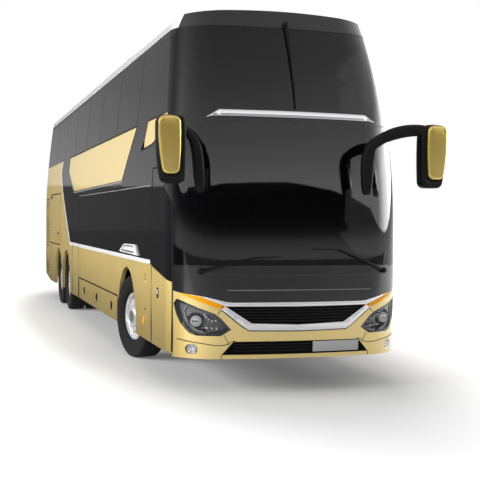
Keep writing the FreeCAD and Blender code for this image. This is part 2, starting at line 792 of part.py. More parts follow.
hangers = [block(side * (size("railHalfSpan") - 30), side * (size("railHalfSpan") + 30), station - 60, station + 60,
                 size("railHeight"), boot_floor) for side in (RIGHT, LEFT)
           for station in (9000, 10275, 11700, 13500)]
front_beam_half = size("housingInner") + size("housingWall")
front_beam = block(-front_beam_half, front_beam_half, FRONT_AXLE - 220, FRONT_AXLE + 220, floor_base - 60, floor_base)
keep("underframe", fused([low_floor, bulkhead, rear_floor, front_beam] + rails + hangers))

# Wheel housings: boxes over the steered wheels and round liners over the rear wheels

shell_wall = size("housingWall")
housing_top = size("archHeight") + size("archRadius") + 30
box_outer = room.common(block(size("housingInner") + size("seatGap"), BIG / 2,
                              FRONT_AXLE - housing_half + size("seatGap"),
                              FRONT_AXLE + housing_half - size("seatGap"), floor_base, housing_top + shell_wall))
box_inner = block(size("housingInner") + shell_wall, BIG, FRONT_AXLE - size("archRadius"),
                  FRONT_AXLE + size("archRadius"), 0, housing_top)
front_housing = box_outer.cut(box_inner)
liners = []
for station in (DRIVE_AXLE, TAG_AXLE):
    centre = Vector(size("housingInner"), at(station), size("archHeight"))
    width = BIG / 2 - size("housingInner")
    arc = Part.makeCylinder(size("linerRadius") + shell_wall, width, centre, Vector(1, 0, 0))
    arc = arc.cut(Part.makeCylinder(size("linerRadius"), width, centre, Vector(1, 0, 0)))
    arc = arc.cut(block(0, BIG, station - 2000, station + 2000, -size("archHeight"), size("archHeight")))
    liners.append(room.common(arc))
housings = [front_housing] + liners
keep("wheel_housings", joined(housings + [mirrored(shape) for shape in housings]))

# Upper deck, carried by the side frames, with a stairwell over the left side

deck_base = size("deckHeight") - size("deckThickness")
stairwell = block(size("wellInner"), size("wellOuter"), size("wellStart"), size("wellEnd"), deck_base - 10,
                  size("deckHeight") + 10)
flap_room = [block(side * (half_width(size("deckHeight")) - size("wallThickness") - size("sillGap")), side * BIG / 2,
                   size("bootFlapStart") - 20, size("bootFlapEnd") + 20, deck_base - 10, size("deckHeight") + 10)
             for side in (RIGHT, LEFT)]
deck = tidy(slab(deck_base, size("deckHeight"), 620, size("bodyLength") - 120).cut([stairwell] + flap_room))


def staircase():
    """Closed flight that climbs forward from the lower floor to the front edge of the well."""
    foot = size("floorHeight") + size("seatGap")
    treads = int(size("stairSteps")) - 1
    rise = (size("deckHeight") - size("floorHeight")) / size("stairSteps")
    start = size("wellStart") + 10 + treads * size("stairTread")
    line = [(start, foot)]
    for index in range(treads):
        height = size("floorHeight") + rise * (index + 1)
        line += [(start - index * size("stairTread"), height), (start - (index + 1) * size("stairTread"), height)]
    front = line[-1][0]
    soffit = line[-1][1] - size("stairTread")
    line += [(front, soffit), (front + (soffit - foot) * size("stairTread") / rise, foot)]
    return side_prism(line, size("wellInner") + 10, size("wellOuter") - 10)


keep("upper_deck", joined(deck.Solids + [staircase()]))

# Engine, lengthwise between the rear rails

engine = doc.addObject("Part::Box", "engineBlock")
engine_width = "2 * Sizes.railHalfSpan - Sizes.railWidth - 2 * Sizes.seatGap"
bind(engine, Length=engine_width, Width="Sizes.engineLength", Height="Sizes.engineHeight")
engine_half = size("railHalfSpan") - size("railWidth") / 2 - size("seatGap")
engine.Placement.Base = Vector(-engine_half, at(size("bodyLength") - 330 - size("engineLength")),
                               size("railHeight") - size("engineHeight") / 2 - 60)
adopt(engine, "engine_block")

# Wheels: tyre and rim profiles turned about the wheel's axis, as bodies with bound sketches


def sketched_body(name, corners):
    """Body turned about its Y axis from a profile of radius and width, each given as an expression."""
    body = doc.addObject("PartDesign::Body", name)
    sketch = body.newObject("Sketcher::SketchObject", name + "Profile")
    plane = next(item for item in body.Origin.OriginFeatures if item.Role == "XY_Plane")
    sketch.AttachmentSupport = [(plane, "")]
    sketch.MapMode = "FlatFace"
    points = [Vector(number(radius), number(width), 0) for radius, width in corners]
    count = len(points)
    for index in range(count):
        sketch.addGeometry(Part.LineSegment(points[index], points[(index + 1) % count]), False)
    for index in range(count):
        sketch.addConstraint(Sketcher.Constraint("Coincident", index, 2, (index + 1) % count, 1))
    for index, (radius, width) in enumerate(corners):
        for kind, text, amount in (("DistanceX", radius, points[index].x), ("DistanceY", width, points[index].y)):
            label = "%s%d" % ("radius" if kind == "DistanceX" else "width", index)
            place = sketch.addConstraint(Sketcher.Constraint(kind, -1, 1, index, 1, amount))
            sketch.renameConstraint(place, label)
            sketch.setExpression("Constraints." + label, text)
    turned = body.newObject("PartDesign::Revolution", name + "Turned")
    turned.Profile = sketch
    turned.ReferenceAxis = (sketch, ["V_Axis"])
    turned.Angle = 360
    body.Tip = turned
    return body


def number(text):
    """Value of a short expression that names cells of the sheet."""
    total = 0.0
    for term in text.replace("- ", "-").replace("+ ", "+").split():
        sign = -1.0 if term.startswith("-") else 1.0
        factors = term.lstrip("+-").split("*")
        amount = sign
        for factor in factors:
            parts = factor.split("/")
            amount *= size(parts[0][6:]) if parts[0].startswith("Sizes.") else float(parts[0])
            for divisor in parts[1:]:
                amount /= float(divisor)
        total += amount
    return total


tyre_form = sketched_body("tyreForm", [
    ("Sizes.beadRadius + Sizes.seatGap", "Sizes.tyreWidth/2 - Sizes.rimWidth/2 + 16 + Sizes.seatGap"),
    ("Sizes.beadRadius + 10 + Sizes.seatGap", "Sizes.tyreWidth/2 - Sizes.rimWidth/2 + 16 + Sizes.seatGap"),
    ("Sizes.beadRadius + 30", "Sizes.tyreWidth*0.05"),
    ("Sizes.beadRadius + 90", "Sizes.tyreWidth*0.005"),
    ("Sizes.tyreRadius - 80", "Sizes.tyreWidth*0.005"),
    ("Sizes.tyreRadius - 28", "Sizes.tyreWidth*0.06"),
    ("Sizes.tyreRadius - 8", "Sizes.tyreWidth*0.1"),
    ("Sizes.tyreRadius", "Sizes.tyreWidth*0.2"),
    ("Sizes.tyreRadius", "Sizes.tyreWidth*0.8"),
    ("Sizes.tyreRadius - 8", "Sizes.tyreWidth*0.9"),
    ("Sizes.tyreRadius - 28", "Sizes.tyreWidth*0.94"),
    ("Sizes.tyreRadius - 80", "Sizes.tyreWidth*0.995"),
    ("Sizes.beadRadius + 90", "Sizes.tyreWidth*0.995"),
    ("Sizes.beadRadius + 30", "Sizes.tyreWidth*0.95"),
    ("Sizes.beadRadius + 10 + Sizes.seatGap", "Sizes.tyreWidth/2 + Sizes.rimWidth/2 - 16 - Sizes.seatGap"),
    ("Sizes.beadRadius + Sizes.seatGap", "Sizes.tyreWidth/2 + Sizes.rimWidth/2 - 16 - Sizes.seatGap"),
])

single_rim = sketched_body("singleRim", [
    ("Sizes.beadRadius + 10", "0.5"),
    ("Sizes.beadRadius + 10", "10"),
    ("Sizes.beadRadius", "16"),
    ("Sizes.beadRadius", "Sizes.rimWidth - 16"),
    ("Sizes.beadRadius + 10", "Sizes.rimWidth - 10"),
    ("Sizes.beadRadius + 10", "Sizes.rimWidth"),
    ("Sizes.beadRadius - Sizes.rimWall", "Sizes.rimWidth"),
    ("Sizes.beadRadius - 20", "Sizes.rimWidth - 35"),
    ("Sizes.hubRadius + 90", "Sizes.rimWidth - 13"),
    ("Sizes.hubRadius", "Sizes.rimWidth - 13"),
    ("Sizes.hubRadius", "Sizes.rimWidth + 20"),
    ("Sizes.hubRadius - 40", "Sizes.rimWidth + 35"),
    ("0.001", "Sizes.rimWidth + 35"),
    ("0.001", "Sizes.rimWidth - 40"),
    ("Sizes.spindleRadius + Sizes.bearingGap", "Sizes.rimWidth - 40"),
    ("Sizes.spindleRadius + Sizes.bearingGap", "65"),
    ("Sizes.hubRadius", "65"),
    ("Sizes.hubRadius", "Sizes.rimWidth - 27"),
    ("Sizes.hubRadius + 88", "Sizes.rimWidth - 27"),
    ("Sizes.beadRadius - 24", "Sizes.rimWidth - 55"),
    ("Sizes.beadRadius - Sizes.rimWall", "0.5"),
])

twin_rim = sketched_body("twinRim", [
    ("Sizes.beadRadius + 10", "0.5"),
    ("Sizes.beadRadius + 10", "10"),
    ("Sizes.beadRadius", "16"),
    ("Sizes.beadRadius", "Sizes.rimWidth - 16"),
    ("Sizes.beadRadius + 10", "Sizes.rimWidth - 10"),
    ("Sizes.beadRadius + 10", "Sizes.rimWidth"),
    ("Sizes.beadRadius - 6", "Sizes.rimWidth"),
    ("Sizes.beadRadius - 6", "Sizes.twinSpacing"),
    ("Sizes.beadRadius + 10", "Sizes.twinSpacing"),
    ("Sizes.beadRadius + 10", "Sizes.twinSpacing + 10"),
    ("Sizes.beadRadius", "Sizes.twinSpacing + 16"),
    ("Sizes.beadRadius", "Sizes.twinSpacing + Sizes.rimWidth - 16"),
    ("Sizes.beadRadius + 10", "Sizes.twinSpacing + Sizes.rimWidth - 10"),
    ("Sizes.beadRadius + 10", "Sizes.twinSpacing + Sizes.rimWidth"),
    ("Sizes.beadRadius - Sizes.rimWall", "Sizes.twinSpacing + Sizes.rimWidth"),
    ("Sizes.beadRadius - 22", "Sizes.twinSpacing + 30"),
    ("Sizes.hubRadius + 95", "Sizes.twinSpacing/2 + Sizes.rimWidth/2 + 12"),
    ("Sizes.hubRadius", "Sizes.twinSpacing/2 + Sizes.rimWidth/2 + 12"),
    ("Sizes.hubRadius", "Sizes.twinSpacing + Sizes.rimWidth - 30"),
    ("Sizes.hubRadius - 45", "Sizes.twinSpacing + Sizes.rimWidth - 15"),
    ("0.001", "Sizes.twinSpacing + Sizes.rimWidth - 15"),
    ("0.001", "Sizes.twinSpacing + Sizes.rimWidth - 90"),
    ("Sizes.shaftRadius + Sizes.bearingGap", "Sizes.twinSpacing + Sizes.rimWidth - 90"),
    ("Sizes.shaftRadius + Sizes.bearingGap", "Sizes.rimWidth/2"),
    ("Sizes.hubRadius", "Sizes.rimWidth/2"),
    ("Sizes.hubRadius", "Sizes.twinSpacing/2 + Sizes.rimWidth/2 - 12"),
    ("Sizes.hubRadius + 95", "Sizes.twinSpacing/2 + Sizes.rimWidth/2 - 12"),
    ("Sizes.beadRadius - 22", "Sizes.rimWidth - 30"),
    ("Sizes.beadRadius - Sizes.rimWall", "0.5"),
])
doc.recompute()


def hand_holes(depth):
    """Ring of hand hole cutters about the Y axis."""
    count = int(size("handHoles"))
    holes = []
    for index in range(count):
        turn = 2 * math.pi * index / count
        centre = Vector(size("handHoleCircle") * math.cos(turn), 0, size("handHoleCircle") * math.sin(turn))
        holes.append(Part.makeCylinder(size("handHoleRadius"), depth, centre, Vector(0, 1, 0)))
    return holes


pierced_single = single_rim.Shape.cut(hand_holes(size("rimWidth") * 2))
pierced_twin = twin_rim.Shape.cut(hand_holes(size("rimWidth") * 3))
wheel_middle = size("tyreFace") - size("tyreWidth") / 2


def outboard(side):
    """Turn that lays the profiles' Y axis along the axle, pointing outboard."""
    return FreeCAD.Rotation(Vector(0, 0, 1), -90 * side)


def wheel_place(side, station, x):
    return FreeCAD.Placement(Vector(side * x, at(station), size("tyreRadius")), outboard(side))


def steered(side):
    """Turn about the kingpin that gives the steered wheel its stored angle."""
    pin = Vector(side * (wheel_middle - size("kingpinOffset")), at(FRONT_AXLE), size("tyreRadius"))
    turn = FreeCAD.Rotation(Vector(0, 0, 1), size("steerAtRest"))
    return FreeCAD.Placement(pin, turn) * FreeCAD.Placement(-pin, FreeCAD.Rotation())


def placed(shape, place):
    copy = shape.copy()
    copy.Placement = place.multiply(copy.Placement)
    return copy


def keep_placed(name, shape, place):
    feature = keep(name, shape)
    feature.Placement = place
    return feature


tyre_start = wheel_middle - size("tyreWidth") / 2
rim_start = wheel_middle - size("rimWidth") / 2
for side, word in ((RIGHT, "right"), (LEFT, "left")):
    turn = steered(side)
    keep_placed("front_tyre_" + word, tyre_form.Shape, turn * wheel_place(side, FRONT_AXLE, tyre_start))
    keep_placed("front_rim_" + word, pierced_single, turn * wheel_place(side, FRONT_AXLE, rim_start))
    keep_placed("tag_tyre_" + word, tyre_form.Shape, wheel_place(side, TAG_AXLE, tyre_start))
    keep_placed("tag_rim_" + word, pierced_single, wheel_place(side, TAG_AXLE, rim_start))
    inner_start = tyre_start - size("twinSpacing")
    twins = joined([placed(tyre_form.Shape, wheel_place(side, DRIVE_AXLE, inner_start)),
                    placed(tyre_form.Shape, wheel_place(side, DRIVE_AXLE, tyre_start))])
    keep("drive_tyres_" + word, twins)
    keep_placed("drive_rims_" + word, pierced_twin, wheel_place(side, DRIVE_AXLE, rim_start - size("twinSpacing")))

# Axles, knuckles and wishbones

spindle_tip = wheel_middle - size("rimWidth") / 2 + size("rimWidth") - 45
shaft_tip = wheel_middle + size("rimWidth") / 2 - 95


def cross_rod(radius, x0, x1, station, height):
    return Part.makeCylinder(radius, x1 - x0, Vector(x0, at(station), height), Vector(1, 0, 0))


axle_height = size("tyreRadius")
tag_beam = fused([
    cross_rod(size("spindleRadius"), -spindle_tip, spindle_tip, TAG_AXLE, axle_height),
    cross_rod(75, -850, 850, TAG_AXLE, axle_height),
] + [block(side * (size("railHalfSpan") - 35), side * (size("railHalfSpan") + 35), TAG_AXLE - 90, TAG_AXLE + 90,
           axle_height, size("railHeight") - size("railDepth") - size("seatGap")) for side in (RIGHT, LEFT)])
keep("tag_axle", tag_beam)
tube_end = 560
tube_radius = 75
casing_radius = 190
casing_half = 120
axle_half = [(shaft_tip, 0), (shaft_tip, size("shaftRadius")), (tube_end, size("shaftRadius")), (tube_end, tube_radius),
             (2 * casing_half, tube_radius), (casing_half, casing_radius)]
axle_outline = axle_half + [(-x, radius) for x, radius in reversed(axle_half)]
axle_points = [Vector(x, at(DRIVE_AXLE), axle_height + radius) for x, radius in axle_outline]
axle_face = Part.Face(Part.makePolygon(axle_points + [axle_points[0]]))
drive_beam = fused([
    axle_face.revolve(Vector(0, at(DRIVE_AXLE), axle_height), Vector(1, 0, 0), 360),
] + [block(side * (size("railHalfSpan") - 35), side * (size("railHalfSpan") + 35), DRIVE_AXLE - 90, DRIVE_AXLE + 90,
           axle_height, size("railHeight") - size("railDepth") - size("seatGap")) for side in (RIGHT, LEFT)])
keep("drive_axle", drive_beam)

pin_x = wheel_middle - size("kingpinOffset")
pin_half = size("kingpinHalf")
wishbones = []
for height in (axle_height - pin_half - size("wishboneThickness") - size("seatGap"),
               axle_height + pin_half + size("seatGap")):
    half = size("wishboneWidth") / 2
    foot = size("housingInner") + shell_wall + size("seatGap")
    arm = Part.makePolygon([Vector(foot, at(FRONT_AXLE - 200), height), Vector(pin_x, at(FRONT_AXLE - half), height),
                            Vector(pin_x, at(FRONT_AXLE + half), height), Vector(foot, at(FRONT_AXLE + 200), height),
                            Vector(foot, at(FRONT_AXLE + 130), height), Vector(pin_x - 130, at(FRONT_AXLE), height),
                            Vector(foot, at(FRONT_AXLE - 130), height), Vector(foot, at(FRONT_AXLE - 200), height)])
    arm = Part.Face(arm).extrude(Vector(0, 0, size("wishboneThickness")))
    boss = Part.makeCylinder(half, size("wishboneThickness"), Vector(pin_x, at(FRONT_AXLE), height))
    wishbones.append(arm.fuse(boss).removeSplitter())
keep("front_wishbones", joined(wishbones + [mirrored(shape) for shape in wishbones]))

for side, word in ((RIGHT, "right"), (LEFT, "left")):
    post = Part.makeCylinder(size("kingpinRadius"), 2 * pin_half, Vector(side * pin_x, at(FRONT_AXLE),
                                                                         axle_height - pin_half))
    reach = spindle_tip - pin_x
    stub = Part.makeCylinder(size("spindleRadius"), reach, Vector(side * pin_x, at(FRONT_AXLE), axle_height),
                             Vector(side, 0, 0))
    knuckle = keep("front_knuckle_" + word, fused([post, stub]))
    knuckle.Placement = steered(side)

# Seats: double benches on the walls' inner sides, as cushions on plinths and tall backs


def bench_places(first, rows, floor):
    return [(side, first + size("seatPitch") * row, floor) for side in (RIGHT, LEFT) for row in range(rows)]


def bench_start(side, floor):
    """X of the bench's outer end, clear of the wall at the height of its back's top."""
    edge = half_width(floor + size("backHeight")) - size("wallThickness") - size("seatWallGap")
    return side * edge, side * (edge - size("benchWidth"))


upper_benches = [place for place in bench_places(size("firstUpperRow"), int(size("upperRows")), size("deckHeight"))
                 if not (place[0] == LEFT and 5900 < place[1] < 8500)]
lower_benches = [place for place in bench_places(size("firstLowerRow"), int(size("lowerRows")), size("floorHeight"))
                 if not (place[0] == LEFT and place[1] > size("wellStart"))]
cushions = []
backs = []
for side, station, floor in upper_benches + lower_benches:
    x0, x1 = bench_start(side, floor)
    base = floor + size("seatGap")
    cushions.append(block(x0, x1, station - size("cushionLength"), station, base, floor + size("cushionHeight")))
    back_line = [(station + size("seatGap"), base + 250), (station + size("backThickness"), base + 250),
                 (station + size("backThickness") + 130, floor + size("backHeight")),
                 (station + 150, floor + size("backHeight"))]
    backs.append(side_prism(back_line, x0, x1))
keep("seat_cushions", joined(cushions))
keep("seat_backs", joined(backs))

# Driver's place on the left of the nose

desk = side_prism([(230, 900), (420, 1180), (700, 1130), (640, 900), (420, size("floorHeight") + size("seatGap")),
                   (250, size("floorHeight") + size("seatGap"))], -1050, 1050)
desk = desk.common(body_form(size("wallThickness") + 20))
desk = tidy(desk.cut(block(-1300, -350, 380, 900, 0, 1300)))
keep("dashboard", desk)
driver_base = size("floorHeight") + size("seatGap")
driver_seat = fused([block(380, 880, 1150, 1650, driver_base, 900),
                     side_prism([(1600, 700), (1720, 700), (1850, 1600), (1760, 1600)], 400, 860)])
keep("driver_seat", driver_seat)
wheel_ring = Part.makeTorus(220, 16, Vector(0, 0, 0), Vector(0, 0, 1))
column = Part.makeCylinder(22, 400, Vector(0, 0, -400), Vector(0, 0, 1))
spokes = [rod(Vector(-220, 0, 0), Vector(220, 0, 0), 14), rod(Vector(0, 0, 0), Vector(0, -220, 0), 14)]
steering = fused([wheel_ring, column, Part.makeCylinder(60, 40, Vector(0, 0, -20))] + spokes)
steering.Placement = FreeCAD.Placement(Vector(630, at(880), 1290), FreeCAD.Rotation(Vector(1, 0, 0), -35))
keep("steering_wheel", steering.cut(desk))

# Mirrors: on each side a black bow in front of the windscreen joins a main head to a drooping inner head

mirror_front = at(-size("mirrorReach"))


def pipe(points, radius):
    """Tube of constant radius through points, with balls at its bends."""
    parts = [Part.makeSphere(radius, points[0])]
    for first, second in zip(points, points[1:]):
        parts.append(rod(first, second, radius))
        parts.append(Part.makeSphere(radius, second))
    return fused(parts)


def moulded(outline, depth, corner, rounding):
    """Plate square to Y with round corners and rounded rims. Its outline is one wire."""
    plate = Part.Face(outline).extrude(Vector(0, depth, 0))
    corners = [edge for edge in plate.Edges if abs(edge.Vertexes[0].Y - edge.Vertexes[-1].Y) > depth / 2]
    plate = plate.makeFillet(corner, corners)
    rims = [edge for edge in plate.Edges if abs(edge.Vertexes[0].Y - edge.Vertexes[-1].Y) < depth / 2]
    return plate.makeFillet(rounding, rims)


def curved_runs(runs, y):
    """Closed wire of curves that each start where the last one ended."""
    edges = []
    start = runs[-1][-1]
    for run in runs:
        places = [Vector(x, y, height) for x, height in [start] + run]
        if len(places) == 2:
            edges.append(Part.makeLine(*places))
        else:
            curve = Part.BSplineCurve()
            curve.interpolate(places)
            edges.append(curve.toShape())
        start = run[-1]
    return Part.Wire(edges)


head_runs = [[(1250, 2420), (1258, 2742)], [(1400, 2762), (1530, 2742)], [(1530, 2500), (1480, 2100)], [(1262, 2100)]]
shell_runs = [[(1306, 2460), (1312, 2734)], [(1410, 2752), (1526, 2734)], [(1524, 2500), (1478, 2188)],
              [(1322, 2188)]]
driver_bow = [[(1182, 2760), (951, 2715), (794, 2638), (693, 2560), (632, 2450), (617, 2316), (620, 2172), (640, 2020)],
              [(710, 2022)],
              [(730, 2160), (742, 2320), (765, 2490)],
              [(850, 2545), (1000, 2600), (1150, 2632), (1390, 2650)],
              [(1390, 2745)]]
door_bow = [[(1290, 2712), (1205, 2640), (1128, 2556), (1083, 2460), (1060, 2320), (1050, 2140), (1058, 2012)],
            [(1110, 2014)],
            [(1144, 2130), (1160, 2290), (1176, 2420), (1200, 2520)],
            [(1260, 2590), (1390, 2650)],
            [(1390, 2745)]]


def mirror_set(bow_runs, meet):
    """Black head, bow and root of a left side mirror, and its gold shell. The root meets the bow at an X."""
    shell = moulded(curved_runs(shell_runs, mirror_front), 70, 60, 26)
    head = moulded(curved_runs(head_runs, mirror_front + 30), 160, 70, 26)
    bow = moulded(curved_runs(bow_runs, mirror_front + 90), 90, 30, 24)
    root_y = nose_line(1150, 2690)
    root = pipe([Vector(1150, root_y + 60, 2690), Vector(meet, mirror_front + 135, 2695)], 40)
    return fused([head, bow, root]).cut([shell, outer]), shell


driver_black, driver_shell = mirror_set(driver_bow, 1190)
door_black, door_shell = mirror_set(door_bow, 1320)
keep("mirror_arms", joined(solids_of(driver_black) + solids_of(mirrored(door_black))))
keep("mirror_shells", joined([driver_shell, mirrored(door_shell)]))

# Wipers: two on the lower screen and one hanging on the upper screen


def on_nose(x, height, ahead):
    """Point at a distance in front of the nose surface, measured square to it."""
    across = (nose_line(x + 1, height) - nose_line(x - 1, height)) / 2
    upwards = (nose_line(x, height + 1) - nose_line(x, height - 1)) / 2
    return Vector(x, nose_line(x, height) - ahead * math.sqrt(1 + across ** 2 + upwards ** 2), height)


def wiper(places):
    """Arm and blade through points on the nose, each with its distance in front of it."""
    radius = size("wiperRadius")
    return pipe([on_nose(x, height, radius + size("seatGap") + lift) for x, height, lift in places], radius)


wipers = [
    wiper([(-1001, 1217, 0), (-740, 1306, 20), (-482, 1369, 9), (-203, 1380, 2)]),
    wiper([(975, 1236, 0), (700, 1350, 20), (432, 1452, 10), (151, 1462, 2)]),
    wiper([(0, size("roofSeam") + 25, 0), (0, 3500, 20), (0, 3200, 10), (0, 2910, 2)]),
]
keep("wipers", joined([solid for arm in wipers for solid in solids_of(arm.cut(outer))]))

# Checks, and one STEP file for each node

doc.recompute()
faults = [item.Name for item in doc.Objects if "Invalid" in item.State or "Error" in item.State]
for node in nodes:
    if node.Shape.isNull() or not node.Shape.isValid() or not node.Shape.Solids:
        faults.append(node.Label)
if faults:
    raise RuntimeError("these objects failed: " + ", ".join(faults))
os.makedirs("parts", exist_ok=True)
for node in nodes:
    node.Shape.exportStep(os.path.join("parts", node.Label + ".step"))
print("nodes", len(nodes))
for name, start, width, top, leans in DOORS:
    print(name, "pivots", [round(amount, 1) for amount in arm_points(start)])
print("nose at", round(NOSE, 1))
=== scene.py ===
import bpy
import bmesh
import json
import math
from mathutils import Matrix, Quaternion, Vector


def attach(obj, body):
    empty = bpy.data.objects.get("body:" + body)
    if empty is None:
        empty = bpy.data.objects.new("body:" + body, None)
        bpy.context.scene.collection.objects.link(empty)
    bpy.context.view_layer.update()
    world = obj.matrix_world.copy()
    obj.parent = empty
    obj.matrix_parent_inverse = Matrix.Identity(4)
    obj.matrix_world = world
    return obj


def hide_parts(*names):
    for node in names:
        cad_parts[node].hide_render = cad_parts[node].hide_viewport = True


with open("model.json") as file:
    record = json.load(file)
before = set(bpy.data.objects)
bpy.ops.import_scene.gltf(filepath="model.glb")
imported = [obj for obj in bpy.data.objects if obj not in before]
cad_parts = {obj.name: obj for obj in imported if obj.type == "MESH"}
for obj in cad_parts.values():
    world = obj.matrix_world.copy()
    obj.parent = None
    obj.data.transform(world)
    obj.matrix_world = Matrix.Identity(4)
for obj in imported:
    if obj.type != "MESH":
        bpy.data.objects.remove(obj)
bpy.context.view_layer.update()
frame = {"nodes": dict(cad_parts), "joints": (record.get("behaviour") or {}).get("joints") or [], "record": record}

# The coach stands along Y with its nose towards -Y, its left side towards +X and Z up, in metres.
# A station is a distance behind the nose.

coach = {
    "nose": -6.87,
    "length": 14.0,
    "halfWidth": 1.275,
    "bowRadius": 5.0,
    "cornerRadius": 0.55,
    "tailBow": 9.0,
    "tailCorner": 0.26,
    "lean": 0.64,  # setback of the nose's top
    "leanFrom": 1.0,
    "tuck": 0.02,  # setback of the bumper's foot
    "bumperBase": 0.345,
    "tumble": 0.135,  # by which each side comes in towards the top
    "tumbleFrom": 2.0,
    "tumbleTo": 3.75,
    "tailLean": 0.09,  # setback of the tail's top
    "tailLeanFrom": 1.6,
    "height": 4.0,
    "crown": 12.5,  # radius of the roof across the coach
    "roofEdge": 0.16,
    "roofInset": 0.125,
}


def at(station):
    return coach["nose"] + station


def halfWidth(z):
    rise = max(0.0, z - coach["tumbleFrom"]) / (coach["tumbleTo"] - coach["tumbleFrom"])
    return coach["halfWidth"] - coach["tumble"] * rise ** 1.6


def noseSetback(z):
    tuck = max(0.0, coach["leanFrom"] - z) / (coach["leanFrom"] - coach["bumperBase"])
    lean = max(0.0, z - coach["leanFrom"]) / (coach["height"] - coach["leanFrom"])
    return coach["tuck"] * tuck ** 2 + coach["lean"] * lean ** 2.7


def tailSetback(z):
    rise = max(0.0, z - coach["tailLeanFrom"]) / (coach["height"] - coach["tailLeanFrom"])
    return coach["tailLean"] * rise ** 1.5


def endLine(x, z, tail=False):
    # y of the nose or tail surface, and the surface's plan normal there
    bow = coach["tailBow"] if tail else coach["bowRadius"]
    corner = coach["tailCorner"] if tail else coach["cornerRadius"]
    way = 1 if tail else -1
    tip = coach["nose"] + (coach["length"] - tailSetback(z) if tail else noseSetback(z))
    flat = halfWidth(z) - corner
    depth = bow - math.sqrt((bow - corner) ** 2 - flat ** 2)
    across = abs(x)
    if across <= bow * flat / (bow - corner):
        fall = math.sqrt(bow ** 2 - x ** 2)
        return tip - way * (bow - fall), Vector((x / bow, way * fall / bow, 0))
    reach = min(across - flat, corner)
    fall = math.sqrt(corner ** 2 - reach ** 2)
    return tip - way * (depth - fall), Vector((math.copysign(reach / corner, x), way * fall / corner, 0))


def leaning(plan, z):
    # the plan normal turned up by the surface's lean at that height
    step = 0.01
    widthFall = (halfWidth(z + step) - halfWidth(z - step)) / (2 * step)
    if plan.y < 0:
        endFall = -(noseSetback(z + step) - noseSetback(z - step)) / (2 * step)
    else:
        endFall = -(tailSetback(z + step) - tailSetback(z - step)) / (2 * step)
    rise = -(abs(plan.x) * widthFall + abs(plan.y) * endFall)
    return Vector((plan.x, plan.y, rise)).normalized()


def bodyNormals(point):
    # outward normals that the body's surface may have at a point: round its plan, and over its roof
    x, y, z = point
    corner = coach["tailCorner"] if y > 0 else coach["cornerRadius"]
    tip = coach["nose"] + (coach["length"] - tailSetback(z) if y > 0 else noseSetback(z))
    bow = coach["tailBow"] if y > 0 else coach["bowRadius"]
    flat = halfWidth(z) - corner
    depth = bow - math.sqrt((bow - corner) ** 2 - flat ** 2)
    beyond = abs(y - tip) > depth
    plan = Vector((math.copysign(1, x), 0, 0)) if beyond else endLine(x, z, y > 0)[1]
    edge = coach["roofEdge"]
    roofFlat = coach["halfWidth"] - coach["roofInset"] - edge
    edgeHeight = coach["height"] - roofFlat ** 2 / (2 * coach["crown"]) - edge
    if abs(x) <= roofFlat:
        roof = Vector((x / coach["crown"], 0, 1)).normalized()
    else:
        roof = Vector((x - math.copysign(roofFlat, x), 0, max(0.001, z - edgeHeight))).normalized()
    return [leaning(plan, z), roof]


def smoothed(mesh, reach=0.93):
    # flat triangles of the body's skin get the normals of the curved surface that they stand for
    normals = []
    for face in mesh.polygons:
        face.use_smooth = True
        for index in face.vertices:
            found = max(bodyNormals(mesh.vertices[index].co), key=face.normal.dot)
            normals.append(found if found.dot(face.normal) > reach else face.normal.copy())
    mesh.normals_split_custom_set(normals)


# Materials


class Value:
    # a socket's value, so that shader maths reads as an expression
    def __init__(self, tree, socket):
        self.tree = tree
        self.socket = socket

    def maths(self, operation, first, second):
        node = self.tree.nodes.new("ShaderNodeMath")
        node.operation = operation
        for socket, value in zip(node.inputs, (first, second)):
            if isinstance(value, Value):
                self.tree.links.new(value.socket, socket)
            else:
                socket.default_value = value
        return Value(self.tree, node.outputs[0])

    def __add__(self, other):
        return self.maths("ADD", self, other)

    def __radd__(self, other):
        return self.maths("ADD", other, self)

    def __sub__(self, other):
        return self.maths("SUBTRACT", self, other)

    def __rsub__(self, other):
        return self.maths("SUBTRACT", other, self)

    def __mul__(self, other):
        return self.maths("MULTIPLY", self, other)

    def __truediv__(self, other):
        return self.maths("DIVIDE", self, other)


